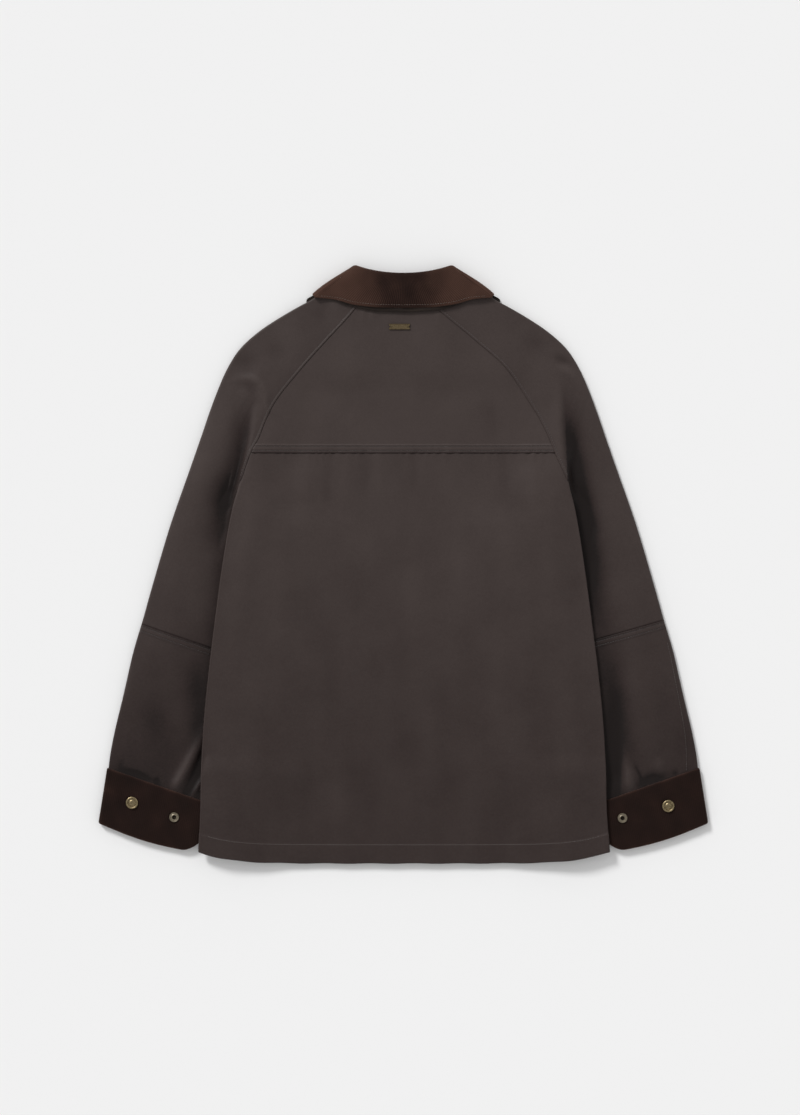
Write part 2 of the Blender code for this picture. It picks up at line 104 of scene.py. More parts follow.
# Painted light and shade in the cloth's colour. VALLEY is the painted shadow on a sleeve beside the body's
# raised edge:
# how far above the underarm it starts and over what length, how far it reaches from the body, its strength,
# and how much of that it loses over a length below fade_y. LOW_SHADE is how much darker the cloth is made
# towards the hem and the cuffs.
VALLEY = {
    "left": {"above": 55, "over": 65, "reach": 16, "strength": 0.95, "loss": 0.3, "fade_y": 40,
             "fade_over": 100},
    "right": {"above": 110, "over": 130, "reach": 25, "strength": 1.8, "loss": 0.95, "fade_y": -20,
              "fade_over": 80}}
LOW_SHADE = {"left": 1.2, "right": 0.95, "body": 0.6}
# HOLLOW_SHADE is painted shade in a crease's trough; RIDGE_LIGHT lightens its ridge, partly as a painted
# highlight and partly as wax rubbed off.
HOLLOW_SHADE, RIDGE_LIGHT = 0.36, 0.17     # for each mm of a crease
SHADE_LIMITS = (-1.45, 0.6)
ELBOW_SHADE = 0.6      # of the seam shade that the yoke has

SIGN = {"left": -1, "right": 1}


def smooth(t):
    """0 below 0, 1 above 1, and an S curve between."""
    t = np.clip(t, 0, 1)
    return t * t * (3 - 2 * t)


def mix(a, b, t):
    return a + (b - a) * t


def bell(distance, reach):
    return np.exp(-(distance / reach) ** 2)


class Table:
    """Rows of named numbers, read as smooth curves of the first column."""

    def __init__(self, names, *rows):
        rows = np.array(sorted(rows), float)
        self.keys = rows[:, 0]
        self.columns = {name: rows[:, i] for i, name in enumerate(names.split())}

    def at(self, name, key):
        keys, values = self.keys, self.columns[name]
        steps = np.diff(keys)
        slopes = np.diff(values) / steps
        before, after = slopes[:-1], slopes[1:]
        total = np.where(before * after > 0, before + after, 1)
        inner = np.where(before * after > 0, 2 * before * after / total, 0)
        slopes = np.concatenate((slopes[:1], inner, slopes[-1:]))
        key = np.clip(key, keys[0], keys[-1])
        i = np.clip(np.searchsorted(keys, key, side="right") - 1, 0, len(keys) - 2)
        t = (key - keys[i]) / steps[i]
        a, b = slopes[i] * steps[i], slopes[i + 1] * steps[i]
        rise = values[i + 1] - values[i]
        return values[i] + a * t + (3 * rise - 2 * a - b) * t ** 2 + (a + b - 2 * rise) * t ** 3


# The sleeve's outer edge, from the neck to the cuff: half width at each height
OUTER = Table("y x", (352, 84), (330, 129), (300, 179), (285, 200), (272, 210), (259, 219.5), (234, 231),
              (208, 241.5), (157, 259), (107, 276.5), (56, 294.5), (5, 310), (-77, 333), (-122, 344),
              (-173, 355.5), (-223, 367.5), (-259, 373.5))

# The body's side: the raglan seam down to the underarm, then the fold that lies over the sleeve.
# lift is how far the body stands off the surface there, and plateau how far in it stays so high.
SIDE = Table("y left right lift plateau",
             (338, 53, 31, 0, 4), (322, 64.5, 47.5, 0, 4), (284, 99, 93, 0, 4), (250, 129.5, 131, 0, 4),
             (205, 165, 162, 1.6, 5), (183, 176, 175.5, 3.4, 6), (161, 184.5, 186, 5.2, 6),
             (142, 194.5, 193.5, 6.6, 6), (107, 206.5, 208.5, 8.3, 6), (92, 211, 212.5, 8.3, 10),
             (77, 215.5, 216.5, 8.3, 16), (43, 222.5, 223, 7.8, 56), (-23, 233, 233, 6, 90),
             (-80, 240.5, 240.5, 4.8, 93), (-134, 247, 247.5, 4.6, 88), (-200, 253.5, 254, 4.6, 76),
             (-240, 256, 256.5, 5.6, 62), (-268, 257, 257.5, 8.4, 46), (-302, 257.5, 258, 8.4, 20),
             (-365, 260, 262, 8.4, 16))

# Above the underarm, the line where the cloth starts to drop to the sleeve, and how wide the drop is
RIDGE = Table("y left right drop", (107, 206.5, 208.5, 8), (142, 195.5, 207.5, 13), (183, 187, 206.5, 24),
              (240, 188, 205, 40))

# Where each line across a sleeve starts and ends: on the raglan seam, then on the fold under the body
HEAD = Table("seam_y outer_y", (338, 352), (322, 337), (300, 318), (275, 300), (250, 282), (225, 258),
             (205, 230), (183, 208), (161, 185), (142, 164), (125, 146), (107, 128))
ARM = Table("fold_y fold_x outer_y", (107, 209, 128), (92, 212, 113), (79, 215, 98), (66, 216, 84),
            (54, 211, 73), (40, 195, 62), (10, 166, 43), (-23, 152, 24), (-80, 155, -28), (-134, 168, -77),
            (-200, 187, -140), (-259, 214, -203), (-302, 254, -259))
ELBOW = {"left": (-134, -77), "right": (-120, -72)}     # where the elbow seam ends: fold_y, outer_y
ARM_END_Y = -302
# The seam beside the right sleeve's outer edge: how far in from the edge it runs
OVERARM = Table("y inset", (-263, 13.5), (-194, 6.5), (-72, 2))
CUFF_END = {"outer": (375.2, -270), "inner": (254.5, -313)}

# Corners of a cuff laid flat, and the shape of its lower edge
CUFF = {"top_outer": (376.8, -260), "top_inner": (250.5, -304),
        "low_outer": (387.6, -328.5), "low_inner": (261, -366)}
CUFF_BULGE = 5
CUFF_CORNER = 22
CUFF_CORNER_RISE = 15

# The collar in plan, from its side fold (t = 0) to the centre (t = 1), for the back and the front half.
# neck is where it is sewn on, roll where it folds over, and edge its free edge.
COLLAR_BACK = Table("t neck_x neck_y roll_x roll_y edge_x edge_y",
                    (0, 82, 355.5, 64, 377, 111.5, 338.5), (0.25, 62, 349, 46, 372, 90, 336.5),
                    (0.5, 42, 343.5, 31, 369, 62, 327.5), (0.75, 21, 340, 15, 367, 31, 322),
                    (1, 0, 338, 0, 366.5, 0, 321))
COLLAR_FRONT = Table("t neck_x neck_y roll_x roll_y edge_x edge_y",
                     (0, 82, 355.5, 64, 377, 111.5, 338.5), (0.25, 67, 340, 54, 353, 121, 332),
                     (0.5, 50, 320.5, 40, 331, 119, 308), (0.75, 27, 302.5, 22, 312, 101, 280),
                     (1, 3, 291, 4, 299, 82, 258))
CORD_SHORT = 4.4            # how far the corduroy stays behind the under collar at the centre
TIP_SHOWS = 4.4             # how far the under collar stands out past the corduroy's tips
COLLAR_STITCH = 3.4         # from the corduroy's edge to its row of stitches
ROLL_ROUND = 24             # length over which the peaks of the roll are rounded
FALL_EDGE = (0.95, 0.975, 1.0)     # the last places down the fall, close together at its edge

# Creases, each on a curve from x0, y0 past x1, y1 to x2, y2. h0, h1 and h2 are its height at the start,
# middle and end, below 0 in a trough, and left and right its reach to both sides as one walks along it.
CREASE = "x0 y0 x1 y1 x2 y2 h0 h1 h2 left right".split()
BACK_CREASES = (
    # left shoulder and underarm
    (-222, 231, -174, 251, -173, 194, 0.3, 2.5, 1.3, 2.8, 2.4),
    (-176, 212, -180, 190, -189, 160, 0.3, 0.8, 0.0, 6, 9),
    (-206, 224, -190, 230, -187, 206, -0.4, -1.3, -0.6, 6, 6),
    (-193, 222, -194, 160, -224, 78, -0.3, -4.0, -2.6, 6, 19),
    (-223, 92, -231, 45, -240, 0, -2.2, -2.4, 0.0, 5, 22),
    (-222, 268, -200, 258, -182, 240, 0.0, -1.2, 0.0, 12, 11),
    (-176, 286, -160, 270, -150, 250, 0.0, -0.8, 0.0, 14, 10),
    (-238, 210, -250, 150, -268, 60, 0.0, 1.3, 0.0, 14, 14),
    # right shoulder and underarm
    (188, 262, 203, 262, 220, 246, -0.3, -1.7, -0.4, 6, 7),
    (194, 245, 208, 252, 226, 226, 0.3, 1.6, 0.2, 8, 4),
    (204, 234, 204, 150, 226, 48, -0.3, -4.6, -4.2, 17, 5),
    (222, 62, 231, 15, 240, -45, -3.0, -2.6, 0.0, 20, 4),
    (200, 232, 199, 205, 203, 170, 0.0, 0.9, 0.2, 3, 9),
    (150, 298, 172, 280, 186, 258, 0.0, -0.9, 0.0, 11, 15),
    # lower left sleeve
    (-253, -212, -268, -252, -300, -302, 1.2, 5.4, 4.2, 4.5, 7),
    (-250, -262, -262, -284, -272, -302, 0.6, 2.6, 1.5, 2.5, 3),
    (-254, -244, -264, -276, -283, -304, -4.5, -6.2, -4.4, 4.5, 4.5),
    (-320, -170, -312, -205, -298, -240, 0, -1.1, -0.4, 17, 17),
    (-360, -262, -338, -266, -318, -277, -1.5, -4.8, -1.2, 4, 6),
    (-338, -276, -322, -281, -310, -285, 0, 2.2, 0.6, 3, 3),
    (-313, -268, -314, -278, -311, -291, 0, -3.6, -1.5, 3, 3),
    (-356, -244, -360, -255, -357, -266, 0, -1, -0.4, 4, 4),
    (-289, -292, -281, -296, -275, -300, 0, 1.8, 0.9, 3, 3),
    (-346, -120, -348, -150, -352, -190, 0, 1.2, 0, 8, 12),
    (-262, -110, -268, -150, -262, -205, 0, -1.2, -0.5, 10, 12),
    # lower right sleeve
    (271, -168, 277, -235, 269, -306, -0.4, -4.8, -6, 4, 9),
    (284, -238, 286, -275, 292, -304, 0.6, 4.2, 3.9, 6, 6),
    (300, -284, 316, -270, 338, -273, -1.8, -5.1, -1.2, 7, 4),
    (290, -247, 301, -266, 308, -287, 0, -2, -1.2, 2.5, 3),
    (263, -104, 274, -180, 283, -238, 0, -1.7, -1.0, 13, 13),
    (341, -262, 346, -267, 352, -268, 0, -2.2, 0, 4, 4),
    (322, -242, 328, -256, 326, -268, 0, 1.7, 0.6, 6, 6),
    # back
    (-122, 140, -126, 90, -132, 20, 0.5, 0.8, 0.0, 11, 13),
    (-95, 140, -95, 100, -98, 40, -0.4, -0.6, 0.0, 7, 7),
    (-73, 140, -72, 105, -78, 50, 0.5, 0.7, 0.0, 8, 8),
    (-48, 140, -46, 110, -50, 70, -0.4, -0.5, 0.0, 7, 7),
    (-28, 140, -30, 112, -28, 60, 0.4, 0.5, 0.0, 7, 7),
    (16, 140, 14, 118, 16, 80, -0.5, -0.6, 0.0, 6, 6),
    (60, 140, 62, 100, 56, 50, 0.3, 0.5, 0.0, 10, 10),
    (128, 140, 130, 110, 132, 66, -0.5, -0.6, 0.0, 8, 8),
    (160, 140, 166, 90, 176, 30, 0.3, 0.6, 0.0, 14, 12),
    (-190, 110, -202, 20, -214, -90, 0.0, 1.1, 0.0, 16, 22),
    (104, 226, 112, 190, 118, 154, 0.0, -0.7, -0.3, 12, 12),
    (-60, 210, -66, 180, -62, 154, 0.0, 0.5, 0.3, 12, 12),
    # below the collar
    (-50, 328, -52, 316, -50, 304, 0.5, 0.5, 0.0, 3, 3),
    (-40, 326, -41, 316, -38, 302, 0.5, 0.5, 0.0, 3, 3),
    (44, 326, 46, 314, 42, 298, 0.4, 0.4, 0.0, 3.5, 3),
    (-92, 338, -86, 326, -80, 312, 0.4, 0.9, 0.0, 6, 5),
    (-105, 334, -108, 316, -100, 292, 0.0, -0.7, 0.0, 9, 9),
)
FRONT_CREASES = (
    (-190, 120, -180, 40, -150, -40, 0.4, 1.5, 0.0, 12, 16),
    (180, 120, 172, 50, 150, -60, 0.4, 1.6, 0.0, 14, 12),
    (-120, -60, -112, -160, -122, -260, 0.0, 1.1, 0.0, 16, 16),
    (118, 10, 108, -90, 116, -190, 0.0, 1.2, 0.0, 16, 14),
    (-96, 210, -104, 150, -92, 90, 0.0, 1.0, 0.0, 10, 12),
    (90, 220, 100, 170, 92, 110, 0.0, 1.1, 0.0, 12, 10),
    (-250, 80, -266, 0, -286, -80, 0.0, 1.3, 0.0, 12, 12),
    (248, 90, 266, 10, 284, -60, 0.0, 1.2, 0.0, 12, 12),
    (-300, -190, -310, -230, -322, -268, 0.0, 1.6, 1.0, 7, 9),
    (296, -180, 306, -226, 312, -266, 0.0, 1.7, 1.0, 9, 7),
)


# Flat sizes of the cut pieces, in metres: width, length, and the share of that rectangle that is cloth
CUTS = {
    "back_yoke": (0.39, 0.2, 0.67), "back_panel": (0.53, 0.53, 0.93), "front": (0.29, 0.7, 0.8),
    "sleeve_back_upper": (0.19, 0.46, 0.56), "sleeve_back_lower": (0.18, 0.2, 0.9),
    "sleeve_front_upper": (0.19, 0.46, 0.56), "sleeve_front_lower": (0.18, 0.2, 0.9),
    "cuff": (0.275, 0.068, 1.0), "collar_top": (0.5, 0.077, 0.95), "collar_under": (0.5, 0.077, 0.9),
}


# Heights of the cloth

def by_side(table, x, y):
    return np.where(x < 0, table.at("left", y), table.at("right", y))


def raised(x, y, height, ramp=RAMP):
    """How high the cloth is lifted at a point: level inside the ridge, then down on both sides of it."""
    ridge = np.where(y > UNDERARM_Y, by_side(RIDGE, x, y), by_side(SIDE, x, y))
    inset = ridge - np.abs(x)
    outside = 1 - smooth(-inset / RIDGE.at("drop", y))
    inside = 1 - smooth((inset - SIDE.at("plateau", y)) / ramp)
    return height * np.where(inset < 0, outside, inside)


def at_neck(x, y):
    return smooth((y - 215) / 35) * smooth((168 - np.abs(x)) / 40)


def body_heights(x, y):
    """Middle of the front layer and of the back layer, anywhere on the body."""
    neck = at_neck(x, y)
    front = WALL / 2 + raised(x, y, SIDE.at("lift", y)) + NECK_RAISE * neck
    loft = LOFT - NECK_LOFT_LOSS * neck + CENTRE_LOFT_GAIN * smooth((120 - np.abs(x)) / 60) * (1 - neck)
    return front, front + WALL + loft


def lap_heights(side):
    """The fronts' own heights: each rises towards the centre, where the right laps over the left."""
    def heights(x, y):
        front, back = body_heights(x, y)
        centre = smooth((LAP_START - np.abs(x)) / (LAP_START - LAP_TOP))
        front = front + LAP_RAISE * centre * (1 - at_neck(x, y))
        if side == "left":
            front = front + LEFT_LAP_RAISE * centre
        return front, back
    return heights


def above_cuff(x, y):
    """Distance of a point above the line of the cuff's top edge."""
    (ax, ay), (bx, by) = CUFF["top_outer"], CUFF["top_inner"]
    return ((y - ay) * (ax - bx) - (np.abs(x) - ax) * (ay - by)) / math.hypot(bx - ax, by - ay)


def sleeve_heights(x, y):
    """Middle of a sleeve's front layer and of its back layer."""
    above = y >= UNDERARM_Y
    height = SIDE.at("lift", np.maximum(y, UNDERARM_Y))
    sinks = smooth((y - SLEEVE_FREE_Y) / (UNDERARM_Y - SLEEVE_FREE_Y))
    height = height * np.where(above, 1, sinks)
    inset = by_side(SIDE, x, y) - np.abs(x)
    level = np.logical_and(np.logical_not(above), inset > 0)
    neck = at_neck(x, y)
    tuck = 1 - smooth((above_cuff(x, y) - 3) / 28)
    front = WALL / 2 + np.where(level, height, raised(x, y, height)) + NECK_RAISE * neck
    front = front + CUFF_TUCK_RAISE * tuck
    under_body = mix(SLEEVE_LOFT_UNDER_BODY, LOFT, smooth((-inset - 8) / 60))
    loft = mix(LOFT - NECK_LOFT_LOSS * neck, under_body, smooth((UNDERARM_Y - y) / 35))
    loft = mix(loft, CUFF_TUCK_LOFT, tuck)
    return front, front + WALL + loft


def sleeve_puff(x, y):
    """How much a sleeve's upper layer swells at a point."""
    side = by_side(SIDE, x, y)
    across = (np.abs(x) - side) / (outer_x(y) - side)
    swell = np.sin(math.pi * np.clip(across, 0, 1))
    return SLEEVE_PUFF * swell * smooth(above_cuff(x, y) / 70) * smooth((300 - y) / 90)


def hem_y(x):
    return HEM_Y + HEM_CORNER_RISE * np.minimum(np.abs(x) / HALF_HEM, 1) ** 6


def hem_drop(x, y):
    """How far a line across the body sinks at x below its ends."""
    return (HEM_Y + HEM_CORNER_RISE - hem_y(x)) * smooth((-280 - y) / 85)


# Creases and small unevenness

def crease_heights(x, y, creases, samples=48):
    total = np.zeros_like(x)
    for numbers in creases:
        row = dict(zip(CREASE, numbers))
        reach = 3 * max(row["left"], row["right"])
        xs, ys = numbers[0:6:2], numbers[1:6:2]
        near = (x > min(xs) - reach) & (x < max(xs) + reach) & (y > min(ys) - reach) & (y < max(ys) + reach)
        if not near.any():
            continue
        px, py = x[near], y[near]
        t = np.linspace(0, 1, samples)
        weights = ((1 - t) ** 2, 2 * t * (1 - t), t * t)
        cx = sum(w * row[key] for w, key in zip(weights, ("x0", "x1", "x2")))
        cy = sum(w * row[key] for w, key in zip(weights, ("y0", "y1", "y2")))
        away = (px[:, None] - cx) ** 2 + (py[:, None] - cy) ** 2
        best = away.argmin(axis=1)
        tx, ty = np.gradient(cx)[best], np.gradient(cy)[best]
        side = tx * (py - cy[best]) - ty * (px - cx[best])
        width = np.where(side > 0, row["left"], row["right"])
        s = t[best]
        rise = np.where(s < 0.5, mix(row["h0"], row["h1"], smooth(2 * s)),
                        mix(row["h1"], row["h2"], smooth(2 * s - 1)))
        total[near] += rise * bell(np.sqrt(away.min(axis=1)), width)
    return total


def ripple(x, y, length, seed, waves=9):
    """Soft unevenness about as long as length, between -1 and 1."""
    chance = np.random.default_rng(seed)
    total = np.zeros_like(x)
    for _ in range(waves):
        angle, phase = chance.uniform(0, 2 * math.pi, 2)
        k = 2 * math.pi / (length * chance.uniform(0.7, 1.5))
        total += np.sin(k * (x * math.cos(angle) + y * math.sin(angle)) + phase)
    return total / waves ** 0.5 / 1.6


def puckers(along, away, reach, spacing=11):
    """Little ridges that run out from a seam, unevenly spaced along it."""
    wander = along + 3 * np.sin(along / 17) + 2 * np.sin(along / 7.3 + 1)
    strength = 0.55 + 0.45 * np.sin(along / 29 + 2) * np.sin(along / 11.7)
    return strength * np.sin(2 * math.pi * wander / spacing) * np.exp(-np.maximum(away, 0) / reach)


def lap(distance, width=1.5):
    """The rise of the cloth that laps over a seam, doubled for a width past its edge."""
    return LAP_RISE * (1 - smooth((distance - width) / 2.2))


def groove(distance, places):
    return -GROOVE_DEPTH * sum(bell(distance - place, GROOVE_REACH) for place in places)


# Meshes

def put(name, mesh, look):
    mesh.materials.append(look)
    made = bpy.data.objects.new(name, mesh)
    bpy.context.scene.collection.objects.link(made)
    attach(made, "root")
    return made


def mesh_of(name, points, faces):
    mesh = bpy.data.meshes.new(name)
    mesh.from_pydata((np.asarray(points) * MM).tolist(), [], faces)
    mesh.shade_smooth()
    return mesh


def cloth_normals(grid, ring):
    if ring:
        across = np.roll(grid, -1, axis=1) - np.roll(grid, 1, axis=1)
    else:
        across = np.gradient(grid, axis=1)
    normals = np.cross(across, np.gradient(grid, axis=0))
    return normals / np.linalg.norm(normals, axis=2, keepdims=True)


def edge_loops(rows, columns, ring):
    """Index loops round the open edges of a grid, each with the neighbours just inside it."""
    index = np.arange(rows * columns).reshape(rows, columns)
    if ring:
        return [(index[0], index[1]), (index[-1][::-1], index[-2][::-1])]
    edge = np.concatenate((index[0], index[1:, -1], index[-1, -2::-1], index[-2:0:-1, 0]))
    inside = np.pad(index[1:-1, 1:-1], 1, mode="edge")
    return [(edge, np.concatenate((inside[0], inside[1:, -1], inside[-1, -2::-1], inside[-2:0:-1, 0])))]


def shell(name, grid, wall, look, relief=0.0, ring=False, tone=0.0, facing=1, bulge=0.45):
    """Cloth with a wall and rounded edges through a grid of points. relief stands out on the side that
    faces up where facing is 1 and down where it is -1. tone is lighter above 0 and darker below it."""
    rows, columns = grid.shape[:2]
    normals = cloth_normals(grid, ring)
    if ring:
        normals *= np.sign((normals * (grid - grid.mean(axis=1, keepdims=True))).sum())
    else:
        normals *= np.sign(normals[..., 2].sum()) * facing
    half = np.broadcast_to(np.asarray(wall, float) / 2, (rows, columns))[..., None]
    relief = np.broadcast_to(np.asarray(relief, float), (rows, columns))[..., None]
    tone = np.broadcast_to(np.asarray(tone, float), (rows, columns)).ravel()
    outside = (grid + normals * (half + relief)).reshape(-1, 3)
    inside = (grid - normals * half).reshape(-1, 3)
    middle, flat = (outside + inside) / 2, grid.reshape(-1, 3)
    index = np.arange(rows * columns).reshape(rows, columns)
    after = np.roll(index, -1, axis=1) if ring else index[:, 1:]
    before = index if ring else index[:, :-1]
    quads = np.stack((before[:-1], after[:-1], after[1:], before[1:]), axis=-1).reshape(-1, 4)
    count = rows * columns
    a, b, c = (outside[quads[0, i]] for i in (0, 1, 2))
    flips = np.dot(np.cross(b - a, c - b), normals.reshape(-1, 3)[quads[0, 0]]) < 0
    outer = quads[:, ::-1] if flips else quads
    faces = np.concatenate((outer, outer[:, ::-1] + count)).tolist()
    rims, rim_tones, start = [], [], 2 * count
    for edge, neighbours in edge_loops(rows, columns, ring):
        out = flat[edge] - flat[neighbours]
        out /= np.maximum(np.linalg.norm(out, axis=1, keepdims=True), 1e-6)
        rims.append(middle[edge] + out * half.reshape(-1, 1)[edge] * bulge * 2)
        rim_tones.append(tone[edge])
        for i in range(len(edge)):
            j = (i + 1) % len(edge)
            band = ((edge[i], edge[j], start + j, start + i), (start + i, start + j, edge[j] + count,
                                                              edge[i] + count))
            faces += [[int(v) for v in (face if flips else face[::-1])] for face in band]
        start += len(edge)
    points = np.concatenate((outside, inside, *rims))
    points[:, 2] = np.maximum(points[:, 2], 0)
    mesh = mesh_of(name, points, faces)
    shade = mesh.attributes.new("tone", "FLOAT", "POINT")
    shade.data.foreach_set("value", np.concatenate((tone, tone, *rim_tones)).astype(np.float32))
    return put(name, mesh, look)


# Lines of points across a layer

FOLD_ANGLES = np.radians(np.linspace(1, 90, 8))
SEAM_STEPS = np.array((0, 0.5, 1.0, 1.6, 2.2, 2.8, 3.6, 4.8))


def end_steps(radius, fold):
    return mix(SEAM_STEPS, radius * (1 - np.cos(FOLD_ANGLES)), fold)


def turned_share(distance, radius, fold):
    """Share of a layer's full height at a distance from its edge, where fold turns it down as an arc."""
    lean = np.clip(1 - distance / radius, 0, 1)
    return mix(1, np.sqrt(1 - np.minimum(lean ** 2, 0.9997)), fold)


class Layer:
    """A grid of points of one layer, from lines given as start, end and how far each end turns down."""

    def __init__(self, lines, step, heights, layer):
        lines = list(lines)
        widest = max(math.dist(start, end) for start, end, _ in lines)
        count = int(widest / step)
        rows = []
        for start, end, folds in lines:
            start, end = np.array(start, float), np.array(end, float)
            along = (end - start) / np.linalg.norm(end - start)
            start = start + along * WALL / 2 * folds[0]
            end = end - along * WALL / 2 * folds[1]
            width = np.linalg.norm(end - start)
            radii = [(high - low) / 2 for low, high in (heights(*start), heights(*end))]
            steps = [end_steps(radius, fold) for radius, fold in zip(radii, folds)]
            inner = np.linspace(steps[0][-1], width - steps[1][-1], count + 2)[1:-1]
            distance = np.concatenate((steps[0], inner, width - steps[1][::-1]))
            x, y = (start + along * distance[:, None]).T
            low, high = heights(x, y)
            share = (turned_share(distance, radii[0], folds[0])
                     * turned_share(width - distance, radii[1], folds[1]))
            z = (low + high) / 2 + layer * (high - low) / 2 * share
            rows.append((x, y, z, share, distance, width - distance,
                         np.full_like(x, folds[0]), np.full_like(x, folds[1]), low))
        (self.x, self.y, self.z, self.share, self.from_start, self.from_end, self.start_fold,
         self.end_fold, self.low) = np.array(rows).transpose(1, 0, 2)
        self.layer = layer

    def add(self, rise):
        """Moves the cloth up, less where it turns down at a fold, and never through the layer under it."""
        floor = self.low + WALL + 0.15 if self.layer > 0 else self.low
        level = self.share ** 2
        self.z = np.where(self.share > 0.5, np.maximum(self.z + rise * level, np.minimum(floor, self.z)),
                          self.z + rise * level)

    def grid(self):
        return np.stack((self.x, self.y, self.z), axis=-1)


def rows_of(top, bottom, step, fine=()):
    """Places from top down to bottom, closer together beside the places in fine."""
    places = list(np.linspace(top, bottom, int((top - bottom) / step) + 2))[1:-1]
    for place in fine:
        places += [place + offset for offset in np.arange(-4.2, 4.3, 0.6)]
    kept = [top]
    for place in sorted(places, reverse=True):
        if bottom + 0.35 < place < kept[-1] - 0.35:
            kept.append(place)
    return kept + [bottom]


def folded_at(y):
    return float(smooth((UNDERARM_Y + 6 - y) / 22))


# Body

def back_lines(top, bottom, step, fine):
    for y in rows_of(top, bottom, step, fine):
        fold = folded_at(y)
        yield (-float(SIDE.at("left", y)), y), (float(SIDE.at("right", y)), y), (fold, fold)


def soft_unevenness(x, y):
    return 0.15 * ripple(x, y, 95, 3) + 0.1 * ripple(x, y, 34, 5) + 0.04 * ripple(x, y, 14, 8)


def body_creases(cloth):
    """Creases on the body. The sleeves' own ones stop at its side folds."""
    inset = np.minimum(cloth.from_start, cloth.from_end)
    kept = np.where(cloth.y < UNDERARM_Y, smooth((inset + 2) / 16), 1)
    return kept * crease_heights(cloth.x, cloth.y, BACK_CREASES)


def body_edge_slope(cloth):
    """The back eases down towards its side folds, where it lies over the sleeves."""
    inset = np.minimum(cloth.from_start, cloth.from_end)
    return -EDGE_SLOPE * (1 - smooth((inset - 2) / 34)) * smooth((UNDERARM_Y - cloth.y) / 60)


def beside_raglan(cloth):
    """The body's cloth sinks a little where the sleeve laps over it."""
    left = (1 - smooth(cloth.from_start / 3)) * (1 - cloth.start_fold)
    right = (1 - smooth(cloth.from_end / 3)) * (1 - cloth.end_fold)
    return -LAP_SINK * (left + right)


def back_yoke():
    cloth = Layer(back_lines(NECK_TOP_Y, YOKE_Y - 0.6, GRID, (YOKE_Y + 3, YOKE_Y + DOUBLE_STITCH[1])),
                  GRID, body_heights, 1)
    x, y = cloth.x, cloth.y
    above_seam = y - YOKE_Y
    cloth.add(crease_heights(x, y, BACK_CREASES) + soft_unevenness(x, y) + beside_raglan(cloth)
              + lap(above_seam, DOUBLE_STITCH[1] + 1) + groove(above_seam, DOUBLE_STITCH)
              + 0.4 * puckers(x, above_seam, 7))
    middle = 1 - (np.minimum(np.abs(x), 60) / 60) ** 2
    cloth.y = y - (NECK_TOP_Y - BACK_NECK_Y) * middle * smooth((y - 300) / 38)
    return shell("yoke_cloth", cloth.grid(), WALL, WAXED,
                 tone=painted_shade_and_wear(cloth) + seam_shade(above_seam) + 0.12)


def hem_wall(x, y):
    return mix(HEM_WALL, WALL, smooth((y - hem_y(x) - HEM_DEPTH) / 1.5))


def hem_relief(x, y):
    """The hem stands a little proud, ripples between its edge and its stitches, and dips at them."""
    up = y - hem_y(x)
    inside = 1 - smooth((up - HEM_DEPTH) / 2)
    slant = x + 0.8 * up
    rope = np.sin(2 * math.pi * (slant + 4 * np.sin(slant / 23)) / 13) * (0.6 + 0.4 * np.sin(x / 31))
    return (0.45 * inside + 0.2 * rope * inside * smooth(up / 5) + groove(up, (HEM_DEPTH,))
            + 0.16 * puckers(x, up - HEM_DEPTH, 8, 9) * (1 - inside))


def back_panel():
    stitch_row = -365 + HEM_DEPTH - 2
    cloth = Layer(back_lines(YOKE_Y + 1.4, -365, GRID, (YOKE_Y - 2, stitch_row, -363)), GRID,
                  body_heights, 1)
    cloth.y = cloth.y - hem_drop(cloth.x, cloth.y)
    x, y = cloth.x, cloth.y
    below_seam = YOKE_Y - y
    lift = SIDE.at("lift", y)
    eased = raised(x, y, lift, BACK_RAMP) - raised(x, y, lift)
    cloth.add(eased * smooth(below_seam / 60) + body_creases(cloth) + soft_unevenness(x, y)
              + beside_raglan(cloth) + body_edge_slope(cloth)
              - BELOW_YOKE_SINK * (1 - smooth((below_seam + 0.4) / 2.6))
              + 0.42 * puckers(x + 5, below_seam, 8) + hem_relief(x, y))
    cloth.y = y + 0.35 * np.sin(x / 9) * (1 - smooth((y - hem_y(x)) / 12))
    return shell("back_cloth", cloth.grid(), hem_wall(x, y), WAXED,
                 tone=painted_shade_and_wear(cloth) + seam_shade(-below_seam))


def front_seam(side, y):
    """Place on the raglan seam in front, whose upper end is lower than at the back."""
    y = y if y < 300 else mix(300, FRONT_NECK_SIDE_Y, (y - 300) / (NECK_TOP_Y - 300))
    return float(SIDE.at("left" if y > 250 else side, y)), y


def front(side):
    """A front, from its raglan seam and side fold to its edge just past the centre."""
    edge = -SIGN[side] * HALF_LAP
    lines = []
    for y in rows_of(NECK_TOP_Y, -365, UNDER_GRID, (-363,)):
        seam_x, seam_y = front_seam(side, y)
        down = (NECK_TOP_Y - y) / (NECK_TOP_Y - 205)
        centre_y = min(y, FRONT_NECK_Y - 80 * max(down, 0))
        lines.append(((SIGN[side] * seam_x, seam_y), (edge, centre_y), (folded_at(y), 0)))
    cloth = Layer(lines, UNDER_GRID, lap_heights(side), -1)
    x, y = cloth.x, cloth.y
    neck = FRONT_NECK_SAG * smooth((y - 230) / 96) * np.sin(math.pi * cloth.from_start
                                                 / (cloth.from_start + cloth.from_end))
    cloth.y = y - hem_drop(x, y) - neck
    uneven = crease_heights(x, y, FRONT_CREASES) + 0.5 * np.abs(ripple(x, y, 80, 12))
    cloth.add(np.maximum(uneven, 0) * (1 - smooth((LAP_START - np.abs(x)) / 20)))
    return shell(f"front_cloth_{side}", cloth.grid(), hem_wall(x, cloth.y), WAXED,
                 facing=-1, tone=0.4 * ripple(x, y, 60, 4))


# Sleeves

def outer_x(y):
    """The outer edge, with the corners between its table's rows rounded off."""
    averaged = sum(OUTER.at("x", y + shift) for shift in (-18, -9, 0, 9, 18)) / 5
    return averaged + LOWER_ARM_WIDER * smooth((-60 - y) / 60)


